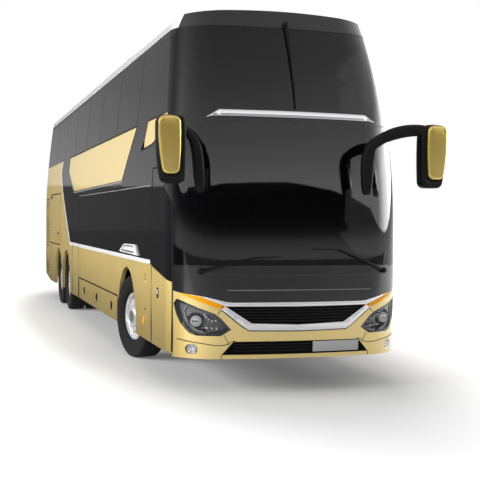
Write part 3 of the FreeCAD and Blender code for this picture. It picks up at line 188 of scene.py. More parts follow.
class Finish:
    # a material and its nodes
    def __init__(self, name, **surface):
        self.material = bpy.data.materials.new(name)
        self.material.use_nodes = True
        self.tree = self.material.node_tree
        self.surface = self.tree.nodes["Principled BSDF"]
        self.place = self.node("ShaderNodeTexCoord", output="Object")
        for socket, value in surface.items():
            self.give(socket, value)

    def link(self, socket, value):
        if isinstance(value, Value):
            self.tree.links.new(value.socket, socket)
        elif hasattr(socket.default_value, "__len__") and len(value) < len(socket.default_value):
            socket.default_value = (*value, 1)
        else:
            socket.default_value = value

    def node(self, kind, settings=None, sockets=None, output=0):
        made = self.tree.nodes.new(kind)
        for name, value in (settings or {}).items():
            if name == "stops":
                while len(made.color_ramp.elements) < len(value):
                    made.color_ramp.elements.new(0.5)
                for stop, (where, colour) in zip(made.color_ramp.elements, value):
                    stop.position = where
                    stop.color = (*colour, 1)
            else:
                setattr(made, name, value)
        for name, value in (sockets or {}).items():
            self.link(made.inputs[name], value)
        return Value(self.tree, made.outputs[output])

    def give(self, socket, value):
        # baseColour names the socket Base Color, coatWeight the socket Coat Weight
        words = "".join(" " + letter if letter.isupper() else letter for letter in socket).title()
        self.link(self.surface.inputs[words.replace("Colour", "Color").replace("Ior", "IOR")], value)

    def noise(self, scale, detail=2.0, roughness=0.5, stretch=(1, 1, 1)):
        stretched = self.node("ShaderNodeMapping", None, {"Vector": self.place, "Scale": stretch})
        return self.node("ShaderNodeTexNoise", None, {"Vector": stretched, "Scale": scale, "Detail": detail,
                                                      "Roughness": roughness})

    def axis(self, letter):
        return self.node("ShaderNodeSeparateXYZ", None, {"Vector": self.place}, output=letter.upper())

    def ramp(self, value, stops):
        # grey levels between places, each from 0 to 1
        return self.node("ShaderNodeValToRGB", {"stops": [(where, (level,) * 3) for where, level in stops]},
                         {"Fac": value})

    def mixed(self, factor, first, second):
        return self.node("ShaderNodeMix", {"data_type": "RGBA"}, {0: factor, 6: first, 7: second}, output=2)

    def bump(self, height, depth, distance=0.001):
        self.give("normal", self.node("ShaderNodeBump", None, {"Height": height, "Strength": depth,
                                                               "Distance": distance}))


def clamped(value):
    node = value.maths("ADD", value, 0.0)
    node.socket.node.use_clamp = True
    return node


def slope(value, start, rise):
    # grows from 0 at the start to 1, or falls from 1 to 0 at the start where the rise is negative
    return clamped((value - start) * rise)


def shownRays(tree):
    # 1 for camera, glossy and transmission rays, 0 for the rays that light other surfaces
    path = tree.nodes.new("ShaderNodeLightPath")
    kinds = ("Camera", "Glossy", "Transmission")
    seen, mirror, through = [Value(tree, path.outputs["Is " + kind + " Ray"]) for kind in kinds]
    return clamped(seen + mirror + through)


finishes = {}


def finish(name):
    return finishes[name].material


filmAndShade = {
    # start and rise of the road grime and painted shade over the square of x and over z, then its strength
    "outwards": (1.35, 5),
    "downwards": (1.15, -1.1),
    "everywhere": 0.12,
    "onSides": 0.85,
}


def paintFinish(name, colour, dark, metal, rough, flake, coat=0.8):
    # road grime and painted shade darken the paint low on the sides
    paint = Finish(name, baseColour=colour, metallic=metal, roughness=rough, coatWeight=coat,
                   coatRoughness=0.04)
    cloud = paint.noise(1.3, 3)
    grain = paint.noise(900, 1)
    across = paint.axis("x")
    share = filmAndShade["everywhere"] + slope(across * across, *filmAndShade["outwards"]) * filmAndShade["onSides"]
    # grime and painted shade: darker towards the bottom and on the sides
    dirtAndShade = slope(paint.axis("z"), *filmAndShade["downwards"]) * share * (0.7 + cloud * 0.6)
    paint.give("baseColour", paint.mixed(clamped(dirtAndShade + (grain - 0.5) * flake), colour, dark))
    paint.give("roughness", rough + (cloud - 0.5) * 0.08 + (grain - 0.5) * 0.1)
    finishes[name] = paint


def glassFinish(name, colour, clear, rough=0.02):
    glass = Finish(name, baseColour=colour, roughness=rough, alpha=1 - clear, coatWeight=0.0)
    wave = glass.noise(2.2, 1, 0.4)
    smear = glass.noise(14, 3, 0.6, (1, 1, 0.3))
    glass.give("roughness", rough + clamped(smear - 0.5) * 0.06)
    glass.bump(wave, 0.03, 0.01)
    finishes[name] = glass


def plasticFinish(name, colour, rough, grainSize=700, depth=0.2, coat=0.0):
    plastic = Finish(name, baseColour=colour, roughness=rough, coatWeight=coat)
    grain = plastic.noise(grainSize, 2)
    cloud = plastic.noise(5, 2)
    plastic.give("roughness", rough + (cloud - 0.5) * 0.12)
    plastic.give("baseColour", plastic.mixed(cloud * 0.3, colour, tuple(0.6 * part for part in colour)))
    plastic.bump(grain, depth, 0.0005)
    finishes[name] = plastic


def metalFinish(name, colour, rough, stretch=(1, 1, 1), scale=60, wear=0.1):
    metal = Finish(name, baseColour=colour, metallic=1.0, roughness=rough)
    streak = metal.noise(scale, 4, 0.6, stretch)
    metal.give("roughness", rough + (streak - 0.5) * wear)
    metal.give("baseColour", metal.mixed(streak * 0.25, colour, tuple(0.7 * part for part in colour)))
    metal.bump(streak, 0.08, 0.0005)
    finishes[name] = metal


def rubberFinish(name, colour):
    rubber = Finish(name, baseColour=colour, roughness=0.72)
    dust = rubber.noise(6, 4)
    grain = rubber.noise(350, 2)
    rubber.give("baseColour", rubber.mixed(dust * 0.5, colour, tuple(2.2 * part for part in colour)))
    rubber.give("roughness", 0.62 + dust * 0.22)
    rubber.bump(grain, 0.3, 0.0006)
    finishes[name] = rubber


def fabricFinish(name, colour, thread):
    cloth = Finish(name, baseColour=colour, roughness=0.9, sheenWeight=0.25)
    warp = cloth.node("ShaderNodeTexWave", {"bands_direction": "X"}, {"Vector": cloth.place, "Scale": 260})
    weft = cloth.node("ShaderNodeTexWave", {"bands_direction": "Z"}, {"Vector": cloth.place, "Scale": 260})
    worn = cloth.noise(9, 3)
    cloth.give("baseColour", cloth.mixed(warp * 0.4 + worn * 0.3, colour, thread))
    cloth.bump(warp * weft, 0.35, 0.001)
    finishes[name] = cloth


def makeFinishes():
    paintFinish("goldPaint", (0.76, 0.57, 0.20), (0.30, 0.22, 0.07), metal=0.30, rough=0.30, flake=0.3)
    # a lighter copy of the gold paint for the mid panels: painted reflection of the bright surroundings
    paintFinish("creamPaint", (0.78, 0.60, 0.24), (0.40, 0.31, 0.12), metal=0.20, rough=0.30, flake=0.2)
    # a darker copy of the gold paint for the mirror shells: painted shade, with more metal and gloss
    paintFinish("shellPaint", (0.62, 0.45, 0.11), (0.40, 0.31, 0.12), metal=0.60, rough=0.22, flake=0.2)
    paintFinish("whitePaint", (0.88, 0.88, 0.87), (0.6, 0.59, 0.57), metal=0.1, rough=0.3, flake=0.1)
    paintFinish("silverPaint", (0.60, 0.60, 0.61), (0.5, 0.5, 0.5), metal=0.2, rough=0.32, flake=0.2)
    paintFinish("blackPaint", (0.008, 0.008, 0.0085), (0.016, 0.015, 0.014), metal=0.0, rough=0.28,
                flake=0.1, coat=0.3)
    paintFinish("chassisPaint", (0.05, 0.05, 0.052), (0.09, 0.08, 0.07), metal=0.0, rough=0.6, flake=0.2,
                coat=0.0)
    glassFinish("darkGlass", (0.006, 0.006, 0.007), clear=0.04)
    glassFinish("screenGlass", (0.002, 0.002, 0.0025), clear=0.20)
    glassFinish("clearGlass", (0.02, 0.02, 0.021), clear=0.55)
    glassFinish("lampGlass", (0.10, 0.10, 0.105), clear=0.92)
    plasticFinish("blackPlastic", (0.005, 0.005, 0.0055), rough=0.38)
    finishes["blackPlastic"].give("specularIorLevel", 0.14)
    plasticFinish("deepBlack", (0.002, 0.002, 0.002), rough=0.6)
    finishes["deepBlack"].give("specularIorLevel", 0.05)
    plasticFinish("deskPlastic", (0.045, 0.047, 0.05), rough=0.6)
    plasticFinish("rubberSeal", (0.010, 0.010, 0.010), rough=0.55)
    plasticFinish("blackGloss", (0.012, 0.012, 0.013), rough=0.12, grainSize=400, depth=0.03, coat=0.6)
    plasticFinish("lampGrey", (0.30, 0.30, 0.31), rough=0.22, grainSize=400, depth=0.05, coat=0.5)
    plasticFinish("lampShade", (0.13, 0.13, 0.135), rough=0.3, grainSize=400, depth=0.05, coat=0.4)
    plasticFinish("hubGrey", (0.10, 0.10, 0.105), rough=0.4)
    plasticFinish("lampWhite", (0.80, 0.82, 0.84), rough=0.12, grainSize=300, depth=0.05, coat=0.6)
    plasticFinish("plateWhite", (0.48, 0.48, 0.48), rough=0.3, grainSize=500, depth=0.05, coat=0.3)
    metalFinish("mirrorGlass", (0.75, 0.76, 0.78), rough=0.03, scale=20, wear=0.01)
    metalFinish("reflector", (0.78, 0.79, 0.81), rough=0.14, wear=0.05)
    plasticFinish("deckCover", (0.09, 0.09, 0.095), rough=0.7)
    plasticFinish("amberLens", (0.92, 0.36, 0.0), rough=0.3, grainSize=300, depth=0.1, coat=0.1)
    plasticFinish("redLens", (0.45, 0.008, 0.008), rough=0.15, grainSize=300, depth=0.1, coat=0.6)
    metalFinish("chrome", (0.74, 0.74, 0.75), rough=0.24, stretch=(0.2, 1, 6), scale=12, wear=0.02)
    finishes["chrome"].give("metallic", 0.6)
    # a darker copy of the chrome for the lower part of the nose's strip: painted shade
    metalFinish("chromeShade", (0.30, 0.30, 0.31), rough=0.25, stretch=(0.2, 1, 6), scale=40, wear=0.06)
    metalFinish("wheelAlloy", (0.90, 0.90, 0.91), rough=0.24, scale=90, wear=0.10)
    finishes["wheelAlloy"].give("metallic", 0.7)
    metalFinish("axleSteel", (0.12, 0.12, 0.125), rough=0.6, scale=25, wear=0.3)
    rubberFinish("tyreRubber", (0.008, 0.008, 0.0085))
    finishes["tyreRubber"].give("specularIorLevel", 0.25)
    fabricFinish("seatFabric", (0.05, 0.06, 0.10), (0.11, 0.12, 0.17))
    finishes["amberLens"].give("specularIorLevel", 0.2)
    finishes["amberLens"].give("emissionColor", (1.0, 0.40, 0.0))
    finishes["amberLens"].give("emissionStrength", 0.08)


makeFinishes()
print("finishes ready")

# Camera, floor and light

view = {
    # found from the photo, with angles in degrees
    "place": (-3.443, -16.356, 1.764),
    "azimuth": -16.47,
    "elevation": -1.23,
    "roll": 0.55,
    "lens": 73.97,
}


def makeCamera():
    azimuth, elevation = math.radians(view["azimuth"]), math.radians(view["elevation"])
    ahead = Vector((-math.sin(azimuth) * math.cos(elevation), math.cos(azimuth) * math.cos(elevation),
                    math.sin(elevation)))
    camera = bpy.data.objects.new("camera", bpy.data.cameras.new("camera"))
    camera.data.sensor_width = 36
    camera.data.lens = view["lens"]
    camera.data.clip_end = 500
    camera.rotation_mode = "QUATERNION"
    camera.location = view["place"]
    roll = Quaternion((0, 0, 1), math.radians(view["roll"]))
    camera.rotation_quaternion = ahead.to_track_quat("-Z", "Y") @ roll
    bpy.context.scene.collection.objects.link(camera)
    bpy.context.scene.camera = camera


studio = {
    "floorReach": 260,
    "floorColour": 0.46,
    # the floor glows from the coach outwards, in an oval this much narrower than long
    "floorOval": (4, 1, 1),
    "floorGlow": [(0.0, 0.10), (0.030, 0.12), (0.040, 0.55), (0.06, 1.0)],
    "skyFill": 0.48,
    # left and right edge, front and back edge, and strength
    "sideCloth": ((-130, -1.6), (-7, 130), 0.05),
    "frontCloth": ((-130, 130), (-130, -13), 0.30),
    "domeReach": 120,
    "domeStrength": 2.4,
    # sine of the elevation at which the bright field in front starts, from the right side to the left
    "fieldEdge": [(0.0, 0.126), (0.03, 0.19), (0.13, 0.235), (0.366, 0.248), (0.55, 0.258),
                  (0.63, 0.252), (0.674, 0.240), (0.736, 0.216), (0.783, 0.184), (0.818, 0.147),
                  (0.90, 0.095), (1.0, 0.04)],
    "edgeSlope": (-0.003125, 160),
    # brightness by the sine of the elevation, in the field, below it and behind the coach
    "field": [(0.24, 1.0), (0.34, 0.75), (0.45, 0.60), (0.62, 0.42), (0.77, 0.30), (1.0, 0.18)],
    "lowField": [(0.0, 0.45), (0.02, 0.42), (0.045, 0.28), (0.065, 0.10), (0.09, 0.03), (0.13, 0.015)],
    "rearField": [(0.0, 0.03), (0.0595, 0.03), (0.061, 0.17), (0.1, 0.15), (0.2, 0.10), (0.5, 0.08),
                  (1.0, 0.05)],
    "rearSlopes": {"along": (0.2, 2.5), "across": (0.1, -5)},
    # the field is brighter beside the left corner
    "cornerSlopes": {"along": (-0.45, 3), "across": (0, 5), "up": (0.42, -5)},
    "cornerGain": 3.0,
}


def place(mesh, name):
    piece = bpy.data.objects.new(name, mesh)
    bpy.context.scene.collection.objects.link(piece)
    return piece


def builtMesh(bm, name):
    mesh = bpy.data.meshes.new(name)
    bm.to_mesh(mesh)
    bm.free()
    return mesh


def everything(bm):
    return bm.verts[:] + bm.edges[:] + bm.faces[:]


def makeFloor():
    bm = bmesh.new()
    bmesh.ops.create_grid(bm, x_segments=1, y_segments=1, size=studio["floorReach"])
    floor = place(builtMesh(bm, "floor"), "floor")
    grey = (studio["floorColour"],) * 3
    ground = Finish("floorPaint", baseColour=grey, roughness=0.9, emissionStrength=1.0)
    oval = ground.node("ShaderNodeMapping", None, {"Vector": ground.place, "Scale": studio["floorOval"]})
    reach = ground.node("ShaderNodeVectorMath", {"operation": "LENGTH"}, {"Vector": oval}, "Value")
    glow = ground.ramp(reach / studio["floorReach"], studio["floorGlow"])
    ground.give("specularIorLevel", 0.0)
    ground.give("emissionColor", shownRays(ground.tree) * glow)
    floor.data.materials.append(ground.material)


def makeDome():
    # what polished surfaces show over the floor: dark low in front, a bright field above, grey behind
    bm = bmesh.new()
    bmesh.ops.create_icosphere(bm, subdivisions=5, radius=studio["domeReach"])
    bmesh.ops.bisect_plane(bm, geom=everything(bm), plane_co=(0, 0, 0), plane_no=(0, 0, 1), clear_inner=True)
    dome = place(builtMesh(bm, "dome"), "dome")
    glow = Finish("domeCloth", baseColour=(0, 0, 0), roughness=1.0, emissionStrength=studio["domeStrength"])
    ways = {word: glow.axis(letter) / studio["domeReach"] for word, letter in
            (("across", "x"), ("along", "y"), ("up", "z"))}
    up = ways["up"]
    above = slope(up - glow.ramp(ways["across"] * 0.5 + 0.5, studio["fieldEdge"]), *studio["edgeSlope"])
    corner, behind = 1.0, 1.0
    for word, way in ways.items():
        corner = slope(way, *studio["cornerSlopes"][word]) * corner
        if word in studio["rearSlopes"]:
            behind = slope(way, *studio["rearSlopes"][word]) * behind
    bright = glow.ramp(up, studio["field"]) * (1 + corner * studio["cornerGain"])
    ahead = bright * above + glow.ramp(up, studio["lowField"]) * (1 - above)
    glow.give("specularIorLevel", 0.0)
    glow.give("emissionColor", ahead * (1 - behind) + glow.ramp(up, studio["rearField"]) * behind)
    dome.data.materials.append(glow.material)
    hideFromAllButGloss(dome)


def hideFromAllButGloss(backdrop):
    backdrop.visible_camera = False
    backdrop.visible_diffuse = False
    backdrop.visible_transmission = False
    backdrop.visible_shadow = False


def makeCloth(name):
    # dark cloth on the ground that only polished surfaces show
    (left, right), (front, back), strength = studio[name]
    bm = bmesh.new()
    bmesh.ops.create_grid(bm, x_segments=1, y_segments=1, size=0.5)
    bmesh.ops.scale(bm, vec=(right - left, back - front, 1), verts=bm.verts)
    bmesh.ops.translate(bm, vec=((left + right) / 2, (front + back) / 2, 0.01), verts=bm.verts)
    cloth = place(builtMesh(bm, name), name)
    felt = Finish(name + "Felt", baseColour=(0, 0, 0), roughness=1.0, emissionStrength=strength)
    felt.give("emissionColor", 0.8 + felt.noise(0.1) * 0.4)
    felt.give("specularIorLevel", 0.0)
    cloth.data.materials.append(felt.material)
    hideFromAllButGloss(cloth)


def makeSky():
    world = bpy.data.worlds.new("studio")
    world.use_nodes = True
    bpy.context.scene.world = world
    tree = world.node_tree
    background = tree.nodes["Background"]
    shown = shownRays(tree)
    strength = shown + (1 - shown) * studio["skyFill"]
    tree.links.new(strength.socket, background.inputs["Strength"])
    background.inputs["Color"].default_value = (1, 1, 1, 1)


lamps = [
    # name, place, point it faces, width, height, power
    ("keyLamp", (1, -19, 8), (0, -6, 1.5), 8, 5, 200),
    ("sideLamp", (-19, -1.5, 7), (0, -1.5, 1.3), 20, 5, 7400),
    ("topLamp", (0, 0, 12), (0, 0, 0), 6, 16, 600),
    ("rearLamp", (6, 17, 8), (0, 5, 1.8), 8, 5, 900),
    ("leftLamp", (15, 2, 8), (0, 0, 1.8), 12, 5, 900),
]


def makeLamps():
    for name, where, target, width, height, power in lamps:
        light = bpy.data.lights.new(name, "AREA")
        light.shape = "RECTANGLE"
        light.size = width
        light.size_y = height
        light.energy = power
        stand = place(light, name)
        stand.visible_glossy = False
        stand.location = where
        stand.rotation_euler = (Vector(target) - Vector(where)).to_track_quat("-Z", "Y").to_euler()


makeCamera()
makeFloor()
makeDome()
makeCloth("sideCloth")
makeCloth("frontCloth")
makeSky()
makeLamps()
bpy.context.scene.view_settings.view_transform = "Standard"
print("studio ready")

# CAD nodes and the finish that each one has

sides = (("right", -1), ("left", 1))


def both(*stems):
    return [stem + "_" + word for stem in stems for word, side in sides]


looks = {
    "goldPaint": ["gold_panels", "rear_wall", "engine_lid", "front_bumper", "front_door", "mid_door",
                  *both("boot_flap", "skirt_flap")],
    "creamPaint": ["mid_panels"],
    "shellPaint": ["mirror_shells"],
    "whitePaint": ["swooshes", "roof_panel"],
    "silverPaint": ["roof_rails"],
    "blackPaint": ["side_frames", "roof_cap", "front_frame", "front_mask"],
    "darkGlass": ["side_panes", "rear_window", "front_door_glass", "mid_door_glass"],
    "screenGlass": ["windscreens"],
    "lampGlass": ["headlamps"],
    "amberLens": ["indicators"],
    "redLens": ["rear_lamps"],
    "chrome": ["chrome_trim"],
    "deepBlack": ["front_grilles"],
    "blackPlastic": ["wheel_housings", "steering_wheel", "mirror_arms", "wipers", "front_door_arm",
                     "mid_door_arm"],
    "deskPlastic": ["dashboard"],
    "tyreRubber": both("front_tyre", "tag_tyre", "drive_tyres"),
    "wheelAlloy": both("front_rim", "tag_rim", "drive_rims"),
    "axleSteel": ["tag_axle", "drive_axle", "front_wishbones", *both("front_knuckle"), "engine_block"],
    "chassisPaint": ["underframe"],
    "seatFabric": ["seat_cushions", "seat_backs", "driver_seat"],
    "deckCover": ["upper_deck"],
}

# nodes that follow the curved body
skinNodes = ["gold_panels", "mid_panels", "rear_wall", "engine_lid", "front_bumper", "front_door", "mid_door",
             *both("boot_flap", "skirt_flap"), "swooshes", "roof_panel", "roof_rails", "roof_cap",
             "front_mask", "side_panes", "rear_window", "front_door_glass", "mid_door_glass", "windscreens",
             "indicators", "chrome_trim", "side_frames", "rear_lamps"]

# nodes that are turned, moulded or folded
plainNodes = ["front_frame", "wheel_housings", "underframe", "upper_deck", "dashboard", "steering_wheel",
              "mirror_arms", "mirror_shells", "front_door_arm", "mid_door_arm", "engine_block", "tag_axle",
              "drive_axle", "front_wishbones", *both("front_knuckle", "front_rim", "tag_rim", "drive_rims"),
              "front_grilles"]

driverPanesEnd = 1.9  # station


def camel(name):
    first, *rest = name.split("_")
    return first + "".join(word.title() for word in rest)


def bodyOf(node):
    return next(body for body, members in frame["record"]["behaviour"]["bodies"].items() if node in members)


def slotOf(node):
    return next(entry["material_slot"] for entry in frame["record"]["subparts"] if entry["node"] == node)


def merged(node):
    # a copy of a node's mesh with its loose triangles joined
    bm = bmesh.new()
    bm.from_mesh(frame["nodes"][node].data)
    bmesh.ops.remove_doubles(bm, verts=bm.verts, dist=0.00002)
    return bm


def dressNodes():
    for name, nodes in looks.items():
        for node in nodes:
            part = frame["nodes"][node]
            part.data.materials.clear()
            part.data.materials.append(finish(name))


def softened(mesh, angle=32):
    # smooth faces and sharp edges
    for face in mesh.polygons:
        face.use_smooth = True
    mesh.set_sharp_from_angle(angle=math.radians(angle))


def smoothedPanes(mesh):
    # the panes beside the driver are clearer than those behind
    mesh.materials.append(finish("clearGlass"))
    for face in mesh.polygons:
        if face.center.x > 0 and face.center.y < at(driverPanesEnd):
            face.material_index = 1
    smoothed(mesh)


def shadedCopy(node, ending, shade):
    # stands for the node, with its form and its finish
    mesh = builtMesh(merged(node), camel(node))
    mesh.materials.append(frame["nodes"][node].data.materials[0])
    shade(mesh)
    piece = place(mesh, camel(node) + ending)
    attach(piece, bodyOf(node))
    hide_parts(node)
    slotOf(node)


def shadeNodes():
    for node in skinNodes:
        shadedCopy(node, "Skin", smoothedPanes if node == "side_panes" else smoothed)
    for node in plainNodes:
        shadedCopy(node, "Smooth", softened)


dressNodes()
shadeNodes()
print("body dressed")

# Surfaces that small pieces lie on. Each takes two places on the surface and a lift above it.


def onNose(x, z, lift):
    y, plan = endLine(x, z)
    return Vector((x, y, z)) + leaning(plan, z) * lift


def onTail(x, z, lift):
    y, plan = endLine(x, z, True)
    return Vector((x, y, z)) + leaning(plan, z) * lift


def onSide(side):
    def surface(y, z, lift):
        corner = coach["cornerRadius"]
        flat = halfWidth(z) - corner
        depth = coach["bowRadius"] - math.sqrt((coach["bowRadius"] - corner) ** 2 - flat ** 2)
        reach = min(max(0.0, coach["nose"] + noseSetback(z) + depth - y), 0.98 * corner)
        run = math.sqrt(corner ** 2 - reach ** 2)
        plan = Vector((side * run / corner, -reach / corner, 0))
        return Vector((side * (flat + run), y, z)) + leaning(plan, z) * lift
    return surface


def onPlane(y):
    def surface(x, z, lift):
        return Vector((x, y + lift, z))
    return surface


def flatShape(outline):
    bm = bmesh.new()
    bm.faces.new([bm.verts.new((across, up, 0)) for across, up in outline])
    return bm


def sliced(bm, step):
    # cuts a flat shape into strips, so that it can follow a curved surface
    for normal in (Vector((1, 0, 0)), Vector((0, 1, 0))):
        reaches = [vert.co.dot(normal) for vert in bm.verts]
        count = int((max(reaches) - min(reaches)) / step)
        for index in range(count):
            where = normal * (min(reaches) + step * (index + 1))
            bmesh.ops.bisect_plane(bm, geom=everything(bm), dist=0.0001, plane_co=where, plane_no=normal)


def plate(surface, outline, lift, depth, step=0.08, soften=0.0):
    # solid over an outline, whose face stands the lift above the surface
    bm = flatShape(outline)
    sliced(bm, step)
    bmesh.ops.translate(bm, verts=bm.verts, vec=(0, 0, lift - depth))
    made = bmesh.ops.extrude_face_region(bm, geom=bm.faces[:])["geom"]
    raised = [item for item in made if isinstance(item, bmesh.types.BMVert)]
    bmesh.ops.translate(bm, verts=raised, vec=(0, 0, depth))
    if soften:
        bm.normal_update()
        rims = [edge for edge in bm.edges if all(vert.co.z > lift - depth / 2 for vert in edge.verts)
                and any(abs(face.normal.z) < 0.5 for face in edge.link_faces)]
        bmesh.ops.bevel(bm, geom=rims, offset=soften, offset_type="OFFSET", segments=2, profile=0.5,
                        affect="EDGES", material=-1)
    return wrapped(bm, surface)


def wrapped(bm, surface):
    for vert in bm.verts:
        vert.co = surface(*vert.co)
    bmesh.ops.recalc_face_normals(bm, faces=bm.faces[:])
    return bm


def band(points, *widths):
    # outline of a strip along a line of points, with one width or a width at each point
    left, right = [], []
    for index, point in enumerate(points):
        before = Vector(points[max(0, index - 1)])
        after = Vector(points[min(len(points) - 1, index + 1)])
        way = (after - before).normalized()
        across = Vector((-way.y, way.x)) * widths[min(index, len(widths) - 1)] / 2
        left.append(tuple(Vector(point) + across))
        right.append(tuple(Vector(point) - across))
    return left + right[::-1]


def inset(outline, amount):
    # a closed outline with each corner moved inwards
    area = sum(a[0] * b[1] - b[0] * a[1] for a, b in zip(outline, outline[1:] + outline[:1]))
    turn = 1 if area > 0 else -1
    moved = []
    for before, corner, after in zip(outline[-1:] + outline[:-1], outline, outline[1:] + outline[:1]):
        first = (Vector(corner) - Vector(before)).normalized()
        second = (Vector(after) - Vector(corner)).normalized()
        inward = turn * (Vector((-first.y, first.x)) + Vector((-second.y, second.x)))
        share = max(0.35, inward.length / 2)
        moved.append(tuple(Vector(corner) + inward.normalized() * amount / share))
    return moved


def rectangle(x0, x1, z0, z1):
    return [(x0, z0), (x1, z0), (x1, z1), (x0, z1)]


def mirrorOutline(outline, side):
    return outline if side > 0 else [(-x, z) for x, z in reversed(outline)]


def nosePlates(outline, lift, depth, step=0.08, soften=0.0):
    # the same plate on both halves of the nose
    return [plate(onNose, mirrorOutline(outline, side), lift, depth, step, soften) for word, side in sides]


def noseLine(points, width, lift=0.0016, step=0.06):
    return plate(onNose, band(points, width), lift, depth=0.003, step=step)


# a profile's radius on its axis, where a full turn merges to one point
onAxis = 0.0001


def turned(profile, centre, axis, steps=48):
    # solid turned about an axis, from radii and places along it
    bm = bmesh.new()
    points = [bm.verts.new((radius, 0, along)) for radius, along in profile]
    for first, second in zip(points, points[1:]):
        bm.edges.new((first, second))
    bmesh.ops.spin(bm, geom=bm.verts[:] + bm.edges[:], cent=(0, 0, 0), axis=(0, 0, 1), angle=2 * math.pi,
                   steps=steps, use_merge=True)
    bmesh.ops.remove_doubles(bm, verts=bm.verts, dist=0.00005)
    bmesh.ops.recalc_face_normals(bm, faces=bm.faces[:])
    placing = Matrix.Translation(centre) @ Vector(axis).to_track_quat("Z", "Y").to_matrix().to_4x4()
    bmesh.ops.transform(bm, matrix=placing, verts=bm.verts)
    return bm


def gathered(parts):
    whole = bmesh.new()
    for part in parts:
        mesh = builtMesh(part, "part")
        whole.from_mesh(mesh)
        bpy.data.meshes.remove(mesh)
    return whole


# slots of the looks that no slot is named after
slotsOfLooks = {
    "deskPlastic": "black_plastic",
    "lampWhite": "lamp_glass",
    "rubberSeal": "black_plastic",
    "mirrorGlass": "chrome",
    "chromeShade": "chrome",
    "creamPaint": "gold_paint",
    "shellPaint": "gold_paint",
    "reflector": "chrome",
    "plateWhite": "white_paint",
    "blackGloss": "black_plastic",
    "deepBlack": "black_plastic",
    "lampGrey": "lamp_glass",
    "lampShade": "lamp_glass",
    "hubGrey": "black_plastic",
}


def snake(look):
    return "".join("_" + letter.lower() if letter.isupper() else letter for letter in look)


def finished(parts, name, look, body="coach", replaced=(), angle=35):
    # one piece of parts that share a look and a body
    mesh = builtMesh(gathered(parts), name)
    softened(mesh, angle)
    mesh.materials.append(finish(look))
    piece = place(mesh, name)
    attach(piece, body)
    if replaced:
        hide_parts(*replaced)
    slotsOfLooks.get(look, snake(look))
    return piece


# Headlamps: black rim and bowl under a clear cover, with a projector, a light guide and small lights

lamp = {
    # x and z on the left half of the nose
    "outline": [(0.808, 0.579), (0.93, 0.573), (1.039, 0.580), (1.104, 0.603), (1.142, 0.645),
                (1.174, 0.693), (1.197, 0.738), (1.209, 0.787), (1.222, 0.842), (1.229, 0.893),
                (1.207, 0.945), (1.12, 0.905), (1.027, 0.863), (0.948, 0.832), (0.869, 0.805),
                (0.838, 0.785), (0.811, 0.761), (0.755, 0.703), (0.703, 0.644), (0.745, 0.604)],
    "cheek": [(0.738, 0.857), (0.813, 0.852), (0.918, 0.888), (1.048, 0.940), (1.160, 0.985),
              (1.169, 0.979), (0.860, 0.856), (0.740, 0.856)],
    "rim": 0.022,
    "bowlDepth": 0.085,
    "bowlShare": 0.90,
    "projector": (1.062, 0.722),
    "lensRadius": 0.046,
    "ringRadius": 0.082,
    "lensBar": (0.030, 0.009),
    "guide": [(1.135, 0.882), (1.162, 0.823), (1.139, 0.735), (1.10, 0.675), (1.05, 0.634), (0.99, 0.622)],
    "shell": [(1.195, 0.925), (1.207, 0.88), (1.195, 0.82), (1.168, 0.73), (1.13, 0.665), (1.085, 0.62),
              (1.03, 0.602), (0.95, 0.60), (0.99, 0.622), (1.05, 0.634), (1.10, 0.675), (1.139, 0.735),
              (1.162, 0.823), (1.135, 0.882)],
    "reflector": [(1.125, 0.875), (1.15, 0.823), (1.135, 0.76), (1.10, 0.80), (1.04, 0.815), (0.97, 0.78),
                  (0.94, 0.815), (1.03, 0.845)],
    "lights": [(0.955, 0.765), (0.975, 0.79), (0.93, 0.745), (0.899, 0.727), (0.86, 0.727), (0.95, 0.655),
               (0.899, 0.651), (0.851, 0.651)],
    "fog": (1.08, 0.44),
    "fogRadius": 0.054,
}


def shrunk(outline, share):
    middle = sum((Vector(point) for point in outline), Vector((0, 0))) / len(outline)
    return [tuple(middle + (Vector(point) - middle) * share) for point in outline]


def headlampBowl(side):
    # a rim, a wall and a floor, between three outlines at their heights
    outline = mirrorOutline(lamp["outline"], side)
    rim = inset(outline, lamp["rim"])
    floor = shrunk(rim, lamp["bowlShare"])
    bm = bmesh.new()
    loops = []
    for line, height in ((outline, -0.004), (rim, -0.006), (floor, -lamp["bowlDepth"])):
        row = [bm.verts.new((across, up, height)) for across, up in line]
        loops.append([bm.edges.new(pair) for pair in zip(row, row[1:] + row[:1])])
    for first, second in zip(loops, loops[1:]):
        bmesh.ops.bridge_loops(bm, edges=first + second)
    bmesh.ops.edgeloop_fill(bm, edges=loops[-1])
    bmesh.ops.triangulate(bm, faces=[face for face in bm.faces if len(face.verts) > 4])
    return wrapped(bm, onNose)


def projector(side, part):
    x, z = lamp["projector"]
    ring, lens = lamp["ringRadius"], lamp["lensRadius"]
    profiles = {
        "ring": [(lens, -0.02), (lens, 0.012), (lens + 0.004, 0.016), (lens + 0.009, 0.012),
                 (lens + 0.010, -0.01)],
        "halo": [(ring - 0.004, -0.004), (ring - 0.002, 0.002), (ring, 0.002), (ring + 0.002, -0.02)],
        "lens": [(onAxis, 0.022), (lens * 0.35, 0.020), (lens * 0.65, 0.014), (lens * 0.9, 0.004),
                 (lens, -0.006), (lens, -0.02), (onAxis, -0.02)],
        "cup": [(onAxis, -0.03), (ring + 0.002, -0.03), (ring + 0.002, -0.005), (ring - 0.012, -0.02),
                (onAxis, -0.022)],
    }
    return turned(profiles[part], onNose(side * x, z, -0.05), Vector((side * 0.22, -1, 0.02)), steps=40)


def lensBar():
    # dark bar across the projector's lens
    x, z = lamp["projector"]
    half, thick = lamp["lensBar"]
    return nosePlates(rectangle(x - half, x + half, z - thick, z + thick), lift=-0.021, depth=0.004,
                      step=0.1, soften=0.002)


def smallLight(side, x, z):
    profile = [(onAxis, 0.008), (0.007, 0.006), (0.010, 0.0), (0.010, -0.04), (onAxis, -0.04)]
    return turned(profile, onNose(side * x, z, -0.035), (side * 0.2, -1, 0), steps=12)


